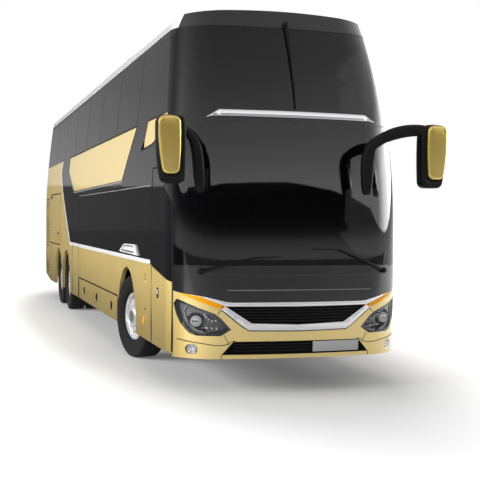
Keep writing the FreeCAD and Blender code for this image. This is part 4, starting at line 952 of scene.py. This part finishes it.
def fogLamp(side, part):
    x, z = lamp["fog"]
    radius = lamp["fogRadius"]
    inner = radius - 0.011
    profiles = {
        "ring": [(radius - 0.0005, -0.03), (radius - 0.0005, 0.008), (radius - 0.004, 0.012),
                 (radius - 0.010, 0.008), (inner, -0.004), (0.018, -0.03), (onAxis, -0.032)],
        "lens": [(onAxis, 0.009), (0.02, 0.0085), (0.036, 0.006), (inner, 0.0005), (inner, -0.002),
                 (onAxis, -0.002)],
    }
    axis = onNose(side * x, z, 1) - onNose(side * x, z, 0)
    return turned(profiles[part], onNose(side * x, z, -0.012), axis, steps=36)


def makeHeadlamps():
    ends = [side for word, side in sides]
    cheeks = nosePlates(lamp["cheek"], lift=0.0016, depth=0.003, step=0.05, soften=0.0005)
    finished(cheeks, "lampCheeks", "goldPaint")
    finished([headlampBowl(side) for side in ends], "headlampBowls", "blackGloss", replaced=["headlamps"],
             angle=30)
    cover = nosePlates(inset(lamp["outline"], 0.003), lift=-0.001, depth=0.003)
    finished(cover, "headlampCovers", "lampGlass", angle=25)
    for part, name, look in (("ring", "Rings", "lampWhite"), ("halo", "Halos", "lampShade"),
                             ("lens", "Lenses", "lampWhite")):
        finished([projector(side, part) for side in ends], "projector" + name, look)
    finished(lensBar(), "projectorBars", "lampShade")
    finished([projector(side, "cup") for side in ends], "projectorCups", "blackGloss")
    lights = [smallLight(side, *spot) for side in ends for spot in lamp["lights"]]
    finished(lights, "smallLights", "lampWhite")
    shades = [nosePlates(lamp[part], lift=-0.030, depth=0.004, step=0.03) for part in ("reflector", "shell")]
    finished(sum(shades, []), "lampReflectors", "lampShade")
    guides = nosePlates(band(lamp["guide"], 0.009), lift=-0.022, depth=0.010, step=0.03)
    finished(guides, "lightGuides", "lampGrey")
    for part, name, look in (("ring", "fogRings", "reflector"), ("lens", "fogLenses", "lampGlass")):
        finished([fogLamp(side, part) for side in ends], name, look)


makeHeadlamps()

# Nose trim: bright bars, wipers, seams, painted shade on the strip, in the bumper's fold and under the mask's
# step, a painted highlight along the mask's fold line, blank plate and grille slats

nose = {
    # half outlines, which are mirrored at the middle
    "upperBar": [(0, 0.875), (-0.765, 0.880), (-0.975, 0.962), (-0.975, 0.977), (-0.760, 0.925),
                 (-0.700, 0.918), (0, 0.918)],
    "lowerBar": [(0, 0.688), (-0.500, 0.706), (-0.730, 0.855), (-0.768, 0.879), (-0.800, 0.845),
                 (-0.597, 0.682), (-0.528, 0.638), (0, 0.629)],
    "strip": [(-0.800, 2.880), (-0.930, 2.800), (-0.860, 2.815)],
    # lower part of the strip, in darker chrome: painted shade
    "stripShade": [(-0.870, 2.838), (-0.925, 2.803), (-0.860, 2.816)],
    "barLift": 0.0095,
    "barDepth": 0.0135,
    "barSoft": 0.006,
    "barShadow": [(0.80, 0.838), (0.597, 0.676), (0.528, 0.632), (0, 0.623)],
    # height and width of each seam, and how far its ends stay inside the sides
    "crossSeams": [(2.776, 0.012), (3.808, 0.018), (1.285, 0.010)],
    "seamEnd": 0.15,
    "seams": [
        [(0.775, 0.585), (0.749, 0.541), (0.722, 0.485)],
        [(0.797, 0.387), (0.802, 0.348)],
        [(0.79, 0.905), (0.80, 0.855), (0.845, 0.80)],
    ],
    # a dark line along the bumper's fold above the intake: painted shade
    "crease": [(0.66, 0.531), (0.70, 0.520), (0.75, 0.492), (0.80, 0.483), (0.864, 0.484), (0.99, 0.503),
               (1.094, 0.515), (1.202, 0.536)],
    # a pale strip along the mask's fold line: painted highlight
    "moulding": (-0.75, 0.82, 1.039, 1.045),
    # a dark line along the mask's step: painted shade
    "step": (-1.20, 1.20, 1.184, 1.196),
    "plate": (0.159, 0.68, 0.405, 0.513),
    # slats: count, lowest and highest z, half width there, half thickness and lift
    "grille": (5, (0.712, 0.862), (0.50, 0.70), 0.006, -0.003),
    "intake": (3, (0.41, 0.505), (0.67, 0.67), 0.005, -0.004),
}

wipers = [
    # pivot, elbow, bend and tip of each arm
    [(-1.001, 1.232), (-0.740, 1.306), (-0.482, 1.369), (-0.203, 1.380)],
    [(0.975, 1.236), (0.700, 1.350), (0.432, 1.452), (0.151, 1.462)],
    [(0.0, 3.830), (0.0, 3.500), (0.0, 3.200), (0.0, 2.910)],
]


def fullOutline(half):
    # closed outline from its half on the right side
    return half + [(-x, z) for x, z in reversed(half)]


def makeWipers():
    arms, blades, knobs = [], [], []
    knob = [(onAxis, 0.052), (0.018, 0.051), (0.026, 0.044), (0.029, 0.036), (0.031, 0.0), (onAxis, 0.0)]
    for pivot, elbow, bend, tip in wipers:
        arm = band([pivot, elbow, bend], 0.040, 0.026, 0.016)
        arms.append(plate(onNose, arm, lift=0.030, depth=0.018, step=0.2, soften=0.005))
        carrier = band([bend, tip], 0.016, 0.012)
        arms.append(plate(onNose, carrier, lift=0.024, depth=0.012, step=0.2, soften=0.003))
        blade = band([elbow, bend, tip], 0.007)
        blades.append(plate(onNose, blade, lift=0.012, depth=0.0115, step=0.2, soften=0.001))
        centre = onNose(*pivot, 0)
        knobs.append(turned(knob, centre, onNose(*pivot, 1) - centre, steps=28))
    finished(arms, "wiperArms", "blackPlastic", replaced=["wipers"], angle=40)
    finished(blades, "wiperBlades", "deepBlack")
    finished(knobs, "wiperPivots", "blackPlastic")


def makeBars():
    # bars with a round section, as proud as the solid that they stand for
    bars = []
    for bar in ("upperBar", "lowerBar", "strip"):
        bars.append(plate(onNose, fullOutline(nose[bar]), nose["barLift"], nose["barDepth"], step=0.06,
                          soften=nose["barSoft"]))
    finished(bars, "chromeBars", "chrome", replaced=["chrome_trim"], angle=50)
    # darker chrome over the strip's lower part: painted shade of its downward face
    shade = plate(onNose, fullOutline(nose["stripShade"]), lift=nose["barLift"] + 0.0006, depth=0.003,
                  step=0.08, soften=0.001)
    finished([shade], "stripShade", "chromeShade")
    shadows = nosePlates(band(nose["barShadow"], 0.012), lift=0.0016, depth=0.003, step=0.06)
    finished(shadows, "barShadows", "rubberSeal")


def makeCrossSeams():
    end = coach["halfWidth"] - nose["seamEnd"]
    seams = [noseLine([(-end, z), (end, z)], width) for z, width in nose["crossSeams"]]
    finished(seams, "crossSeams", "rubberSeal")


def makeNoseLines():
    # real seams, and a dark line in the bumper's fold that is painted shade
    outlines = [band(points, 0.007) for points in nose["seams"]] + [band(nose["crease"], 0.008)]
    seams = [nosePlates(outline, lift=0.0018, depth=0.003, step=0.05) for outline in outlines]
    finished(sum(seams, []), "noseSeams", "rubberSeal")
    # a pale strip along the mask's fold line: painted highlight
    moulding = plate(onNose, rectangle(*nose["moulding"]), lift=0.002, depth=0.004, step=0.06)
    finished([moulding], "maskMoulding", "lampGrey")
    # a dark line along the mask's step: painted shade
    stepShade = plate(onNose, rectangle(*nose["step"]), lift=0.0006, depth=0.002, step=0.06)
    finished([stepShade], "maskStep", "rubberSeal")
    blank = plate(onNose, rectangle(*nose["plate"]), lift=0.006, depth=0.008, step=0.06, soften=0.002)
    finished([blank], "blankPlate", "plateWhite")


def slats(part):
    count, (low, high), (lowHalf, highHalf), thick, lift = nose[part]
    row = []
    for index in range(count):
        share = (index + 0.5) / count
        z = low + share * (high - low)
        half = lowHalf + share * (highHalf - lowHalf)
        row.append(plate(onNose, rectangle(-half, half, z - thick, z + thick), lift, depth=thick))
    return row


def makeNoseTrim():
    makeBars()
    makeCrossSeams()
    makeWipers()
    makeNoseLines()
    finished(slats("grille") + slats("intake"), "grilleSlats", "blackPlastic")


makeNoseTrim()
print("nose trimmed")

# Sides: window seams, thin lines round the gold panel, markers, latches and the white pod

flank = {
    # first and last station of a row of panes, and their number
    "upperPanes": (0.9, 13.46, 8),
    "rightPanes": (1.365, 7.685, 4),
    "leftPanes": (0.455, 8.75, 5),
    "seam": 0.012,
    "upperGlass": (2.89, 3.745),
    "lowerGlass": (1.315, 2.12),
    # stations and heights
    "panelLine": [(3.33, 2.232), (8.455, 2.206), (9.425, 2.612), (9.425, 2.725)],
    "slotLine": [(3.42, 2.17), (7.60, 2.165)],
    "panelEdge": [(2.48, 2.885), (3.35, 2.24), (8.45, 2.22), (9.41, 2.62), (9.41, 2.72), (9.34, 2.885)],
    "wingEdge": [(0.72, 2.885), (0.75, 2.78), (1.28, 2.75), (1.11, 2.65), (1.47, 2.59), (2.12, 2.56),
                 (1.92, 2.68), (1.78, 2.885)],
    "podEdge": [(2.30, 1.345), (3.16, 1.35), (3.10, 1.375), (3.00, 1.412), (2.36, 1.418), (2.30, 1.405)],
    "lowLine": [(1.42, 2.128), (7.70, 2.128)],
    "latches": [4.13, 5.56, 6.98],
    "latchHeight": 0.55,
    # station, height and radius
    "markers": [(1.67, 1.115, 0.016), (1.67, 1.07, 0.018), (1.67, 0.72, 0.017)],
    "amber": (1.74, 0.585),
    "lampHeight": 1.035,
    "lock": (0.97, 0.955),
    "doorHandle": (8.23, 0.75),
    "flapHandle": (11.06, 1.43),
    "vent": (12.39, 2.185),
    "pod": [(2.12, 1.315), (3.36, 1.325), (3.30, 1.36), (3.05, 1.425), (2.98, 1.435), (2.36, 1.442),
            (2.29, 1.435), (2.20, 1.36)],
    "louvres": 26,
    "louvreStart": 12.94,
    "louvreEnd": 13.50,
    "louvreBottom": 0.56,
    "louvrePitch": 0.064,
    # distance from an opening's edge, and width
    "bodyRim": (0.0115, 0.009),
    "leafRim": (-0.004, 0.008),
    "doorSwoosh": [(7.744, 1.248), (8.606, 1.248), (8.606, 1.305), (7.744, 1.305)],
}

openings = {
    # first and last station, foot and top
    "front_door": {"edge": (0.41, 1.31, 0.385, 2.31), "leans": True, "closed": False},
    "mid_door": {"edge": (7.74, 8.61, 0.385, 2.13), "leans": False, "closed": False},
}
for flapWord, flapSide in sides:
    openings["skirt_flap_" + flapWord] = {"edge": (3.6, 7.65, 0.385, 0.72), "leans": False, "closed": False}
    openings["boot_flap_" + flapWord] = {"edge": (10.7, 12.78, 1.21, 2.24), "leans": False, "closed": True}


def byStation(points):
    return [(at(station), z) for station, z in points]


def sideLine(side, points, width, lift=0.001, depth=0.003, step=0.3):
    return plate(onSide(side), band(byStation(points), width), lift, depth, step)


def outlineLine(side, points, width, lift):
    # line along a closed outline
    return sideLine(side, points + points[:1], width, lift)


def paneSeams(side, row, heights):
    # upright seams between the panes of a row
    first, last, count = flank[row]
    seams = []
    for index in range(1, count):
        station = first + (last - first) / count * index
        line = [(station, z) for z in heights]
        seams.append(sideLine(side, line, width=flank["seam"], lift=0.0008, depth=0.002, step=0.12))
    return seams


def stud(side, station, z, radius, height=0.004):
    surface = onSide(side)
    centre = surface(at(station), z, 0)
    profile = [(onAxis, height), (radius * 0.7, height), (radius, height * 0.4), (radius, -0.004),
               (onAxis, -0.004)]
    return turned(profile, centre, surface(at(station), z, 1) - centre, steps=20)


def roundedBox(station, z, width, height, corner=0.35, count=4):
    # outline of a box with round corners on a side
    reach = corner * min(width, height)
    points = []
    for number, (across, up) in enumerate(((1, 1), (-1, 1), (-1, -1), (1, -1))):
        for step in range(count + 1):
            turn = math.radians(90 * number + 90 * step / count)
            points.append((station + across * (width / 2 - reach) + reach * math.cos(turn),
                           z + up * (height / 2 - reach) + reach * math.sin(turn)))
    return byStation(points)


def latch(side, part, station, z, width=0.12, height=0.12):
    surface = onSide(side)
    if part == "cup":
        return plate(surface, roundedBox(station, z, width, height), lift=0.0015, depth=0.005, step=0.2,
                     soften=0.001)
    grip = roundedBox(station, z + height * 0.12, width * 0.42, height * 0.55)
    return plate(surface, grip, lift=0.009, depth=0.008, step=0.2, soften=0.002)


def louvreParts(side, part):
    parts = []
    for index in range(flank["louvres"]):
        z = flank["louvreBottom"] + flank["louvrePitch"] * index
        line = [(flank["louvreStart"], z), (flank["louvreEnd"], z)]
        if part == "slot":
            parts.append(sideLine(side, line, width=0.022, lift=0.0008, depth=0.003))
        else:
            lower = [(station, height - 0.015) for station, height in line]
            parts.append(sideLine(side, lower, width=0.010, lift=0.005, depth=0.006))
    return parts


def rimLine(first, last, low, top, spread, leans, closed):
    # line round an opening, spread outwards from its edge
    def front(z):
        return (first - spread + (noseSetback(z) if leans else 0), z)
    high = top + spread
    steps = 6
    line = [front(low + (high - low) * step / steps) for step in range(steps + 1)]
    line += [(last + spread, high), (last + spread, low - (spread if closed else 0))]
    if closed:
        line += [(first - spread, low - spread), (first - spread, low)]
    return line


def rims(side, opening, part):
    # rubber on the body's side of an opening's gap, or on the leaf's edge
    spread, width = flank[part + "Rim"]
    line = rimLine(*opening["edge"], spread, opening["leans"], opening["closed"])
    return sideLine(side, line, width, lift=0.0016, depth=0.003, step=0.12)


def makeRims():
    for name, opening in openings.items():
        side = -1 if name.endswith("door") or name.endswith("right") else 1
        finished([rims(side, opening, "body")], camel(name) + "Seal", "rubberSeal")
        finished([rims(side, opening, "leaf")], camel(name) + "EdgeSeal", "rubberSeal", name)


def makeSideLines(word, side):
    seams = paneSeams(side, "upperPanes", flank["upperGlass"])
    seams += paneSeams(side, word + "Panes", flank["lowerGlass"])
    seams.append(sideLine(side, flank["slotLine"], width=0.035, lift=0.0012))
    vent = roundedBox(*flank["vent"], 0.34, 0.05)
    seams.append(plate(onSide(side), vent, lift=0.002, depth=0.004, step=0.2))
    seams += louvreParts(side, "slot")
    seams += [stud(side, *marker) for marker in flank["markers"]]
    finished(seams, word + "Seams", "rubberSeal")
    finished(louvreParts(side, "lip"), word + "LouvreLips", "goldPaint")
    pale = [sideLine(side, flank["panelLine"], width=0.016, lift=0.0028)]
    pale.append(sideLine(side, flank["lowLine"], width=0.010, lift=0.0018))
    finished(pale, word + "PaleLines", "lampGrey")
    dark = [outlineLine(side, flank[edge], width=0.022, lift=0.0018) for edge in ("panelEdge", "wingEdge")]
    dark.append(outlineLine(side, flank["podEdge"], width=0.014, lift=0.0225))
    finished(dark, word + "Outlines", "rubberSeal")


def makeSideFittings(word, side):
    amber = roundedBox(*flank["amber"], 0.06, 0.085)
    marker = plate(onSide(side), amber, lift=0.008, depth=0.01, step=0.2, soften=0.003)
    finished([marker], word + "Marker", "amberLens")
    station = flank["markers"][0][0]
    finished([stud(side, station, flank["lampHeight"], 0.014)], word + "SideLamp", "lampWhite")
    for part, name, look in (("cup", "LatchCups", "blackPlastic"), ("grip", "LatchGrips", "blackGloss")):
        latches = [latch(side, part, station, flank["latchHeight"]) for station in flank["latches"]]
        finished(latches, word + name, look, "skirt_flap_" + word)
    flap = "boot_flap_" + word
    cup = latch(side, "cup", *flank["flapHandle"], 0.16, 0.08)
    finished([cup], word + "FlapHandleCup", "blackPlastic", flap)
    handle = latch(side, "grip", *flank["flapHandle"], 0.22, 0.06)
    finished([handle], word + "FlapHandle", "blackGloss", flap)
    pod = plate(onSide(side), byStation(flank["pod"]), lift=0.022, depth=0.022, step=0.3, soften=0.006)
    finished([pod], word + "Pod", "whitePaint")


def makeDoorFittings():
    finished([latch(-1, "cup", *flank["lock"], 0.12, 0.12)], "doorLockPlate", "blackGloss", "front_door")
    finished([latch(-1, "grip", *flank["lock"], 0.13, 0.10)], "doorLock", "chrome", "front_door")
    lock = latch(-1, "cup", *flank["doorHandle"], 0.05, 0.05)
    finished([lock], "midDoorLock", "blackPlastic", "mid_door")
    swoosh = plate(onSide(-1), byStation(flank["doorSwoosh"]), lift=0.0008, depth=0.003, step=0.3)
    finished([swoosh], "midDoorSwoosh", "whitePaint", "mid_door")


def makeSides():
    for word, side in sides:
        makeSideLines(word, side)
        makeSideFittings(word, side)
    makeDoorFittings()
    makeRims()


makeSides()
print("sides trimmed")

# Wheels: tyres with grooves and shoulders, nuts, hub covers

wheel = {
    "radius": 0.520,
    "bead": 0.2865,
    "half": 0.150,
    # radius and distance from the tyre's middle, from its bead to its tread
    "wall": [(0.305, 0.105), (0.318, 0.128), (0.338, 0.139), (0.345, 0.1395), (0.350, 0.144),
             (0.385, 0.1485), (0.410, 0.1492), (0.425, 0.1475), (0.432, 0.1488), (0.450, 0.148),
             (0.470, 0.1455), (0.485, 0.141), (0.490, 0.1415), (0.502, 0.138), (0.512, 0.130),
             (0.5165, 0.118)],
    "grooves": [0.030, 0.085],
    "groove": 0.009,
    "grooveDepth": 0.013,
    "twin": 0.167,  # from the middle of a pair to each tyre
    "nutCircle": 0.168,
    "nuts": 10,
    "nut": 0.0165,
    # places of the disc's face and of the hub cover along the axle
    "singleFace": 0.092,
    "twinFace": -0.155,
    "singleHub": 0.140,
    "twinHub": 0.0895,
    "hubCover": 0.074,
}


def tyreProfile():
    # closed section over the tread, from one bead to the other and back
    radius, half, wide = wheel["radius"], wheel["half"], wheel["groove"] / 2
    profile = [(wheel["bead"], 0.087), (wheel["bead"] + 0.012, 0.0885), *wheel["wall"]]
    for middle in reversed(wheel["grooves"]):
        fall = 0.004 * (middle / half) ** 2
        low = radius - wheel["grooveDepth"] - fall
        profile += [(radius - fall, middle + wide), (low, middle + wide - 0.002),
                    (low, middle - wide + 0.002), (radius - fall, middle - wide)]
    return profile + [(reach, -along) for reach, along in reversed(profile)] + profile[:1]


def spinOf(name):
    joint = next(joint for joint in frame["joints"] if joint["name"] == name)
    return Vector(joint["pos_m"]), Vector(joint["axis"])


def wheelNuts(centre, out, face):
    # a ring of nuts on the disc, each with its washer
    across = out.cross(Vector((0, 0, 1))).normalized()
    up = across.cross(out).normalized()
    size = wheel["nut"]
    nut = [(onAxis, 0.030), (size * 0.55, 0.030), (size * 0.9, 0.024), (size * 0.9, 0.006)]
    washer = [(size * 0.9, 0.006), (size * 1.25, 0.005), (size * 1.3, -0.002), (onAxis, -0.002)]
    nuts = []
    for index in range(wheel["nuts"]):
        turn = 2 * math.pi * (index + 0.5) / wheel["nuts"]
        spot = centre + out * face + (across * math.cos(turn) + up * math.sin(turn)) * wheel["nutCircle"]
        nuts += [turned(nut, spot, out, steps=6), turned(washer, spot, out, steps=16)]
    return nuts


def makeWheel(kind, word, side):
    centre, axis = spinOf(kind + "_spin_" + word)
    out = axis * side
    name = kind + word.title()
    if kind == "drive":
        body, node = "drive_wheels_" + word, "drive_tyres_" + word
        middles = [centre + out * wheel["twin"], centre - out * wheel["twin"]]
        face, hub = wheel["twinFace"] + wheel["twin"], wheel["twinHub"] + wheel["twin"]
    else:
        body, node = kind + "_wheel_" + word, kind + "_tyre_" + word
        middles = [centre]
        face, hub = wheel["singleFace"], wheel["singleHub"]
    tyres = [turned(tyreProfile(), middle, out, steps=96) for middle in middles]
    finished(tyres, name + "Tyres", "tyreRubber", body, replaced=[node], angle=40)
    finished(wheelNuts(centre, out, face), name + "Nuts", "wheelAlloy", body, angle=30)
    cover = wheel["hubCover"]
    profile = [(onAxis, 0.010), (cover * 0.5, 0.010), (cover * 0.82, 0.007), (cover * 0.86, 0.003),
               (cover, 0.002), (cover, -0.002), (onAxis, -0.002)]
    finished([turned(profile, centre + out * hub, out, steps=40)], name + "HubCover", "hubGrey", body)


for wheelKind in ("front", "drive", "tag"):
    for wheelWord, wheelSide in sides:
        makeWheel(wheelKind, wheelWord, wheelSide)
print("wheels ready")

# Mirror glasses on the rear faces of the heads

mirrorFaces = [
    # left half's rectangle, y of the face and the sides that have one
    ((1.30, 1.49, 2.17, 2.69), -6.94, (1, -1)),
    ((0.655, 0.72, 2.07, 2.42), -6.95, (1,)),
    ((1.075, 1.13, 2.05, 2.36), -6.95, (-1,)),
]


def makeMirrorGlasses():
    glasses = []
    for face, y, ends in mirrorFaces:
        for side in ends:
            outline = mirrorOutline(rectangle(*face), side)
            glasses.append(plate(onPlane(y), outline, lift=0.002, depth=0.003, step=1, soften=0.001))
    finished(glasses, "mirrorGlasses", "mirrorGlass")


makeMirrorGlasses()

# Seats: pads with crowned faces inside sewn seams

seats = {
    "soft": 0.030,  # width of a pad's rounded edges
    "fill": 0.8,
    "broad": 0.12,  # area from which a face counts as broad
    "border": 0.045,  # from a broad face's edge to its seam
    "seamWidth": 0.006,
    "seamDepth": 0.007,
    "rise": 0.018,
    "cuts": 6,
}


def sewn(bm, face):
    # a seam round a pad's broad face
    for width, fall in ((seats["border"], 0), (seats["seamWidth"], -seats["seamDepth"]),
                        (seats["seamWidth"], seats["seamDepth"])):
        bmesh.ops.inset_individual(bm, faces=[face], thickness=width, depth=fall)


def crowned(bm, face):
    # swells the face inside the seam
    normal, middle = face.normal.copy(), face.calc_center_median()
    along = (face.verts[1].co - face.verts[0].co).normalized()
    over = normal.cross(along)
    made = bmesh.ops.subdivide_edges(bm, edges=face.edges[:], cuts=seats["cuts"], use_grid_fill=True)
    points = [item for item in made["geom_inner"] if isinstance(item, bmesh.types.BMVert)]
    reach = [max(abs((vert.co - middle).dot(way)) for vert in points) for way in (along, over)]
    for vert in points:
        share = 1.0
        for way, most in zip((along, over), reach):
            share *= 1 - min(1, abs((vert.co - middle).dot(way)) / most) ** 2
        vert.co += normal * seats["rise"] * share


def makeSeats():
    for node in ("seat_cushions", "seat_backs", "driver_seat"):
        bm = merged(node)
        bmesh.ops.dissolve_limit(bm, angle_limit=math.radians(2), verts=bm.verts[:], edges=bm.edges[:])
        bmesh.ops.bevel(bm, geom=bm.edges[:], offset=seats["soft"], offset_type="OFFSET", segments=3,
                        profile=0.5, affect="EDGES", material=-1)
        broad = [face for face in bm.faces if face.calc_area() > seats["broad"] and len(face.verts) == 4]
        for face in broad:
            sewn(bm, face)
        for face in broad:
            crowned(bm, face)
        pads = finished([bm], camel(node) + "Pads", "seatFabric", "coach", replaced=[node], angle=60)


makeSeats()
print("seats ready")

# Tail: blank plate, lamp dividers and a handle on the engine lid

tail = {
    "plate": (-0.26, 0.26, 0.83, 0.94),
    "handle": (-0.14, 0.14, 0.70, 0.735),
    "dividers": [1.22, 1.45, 1.68],
    "lampEdge": (1.03, 1.16),
}


def makeTail():
    board = plate(onTail, rectangle(*tail["plate"]), lift=-0.002, depth=0.005, step=0.1, soften=0.001)
    finished([board], "tailPlate", "plateWhite", "engine_lid")
    handle = plate(onTail, rectangle(*tail["handle"]), lift=0.0012, depth=0.006, step=0.1, soften=0.001)
    finished([handle], "lidHandle", "blackPlastic", "engine_lid")
    left, right = tail["lampEdge"]
    dividers = []
    for z in tail["dividers"]:
        for word, side in sides:
            outline = mirrorOutline(rectangle(left, right, z - 0.006, z + 0.006), side)
            dividers.append(plate(onTail, outline, lift=0.001, depth=0.003, step=0.03))
    finished(dividers, "lampDividers", "rubberSeal")


makeTail()
print("details ready")
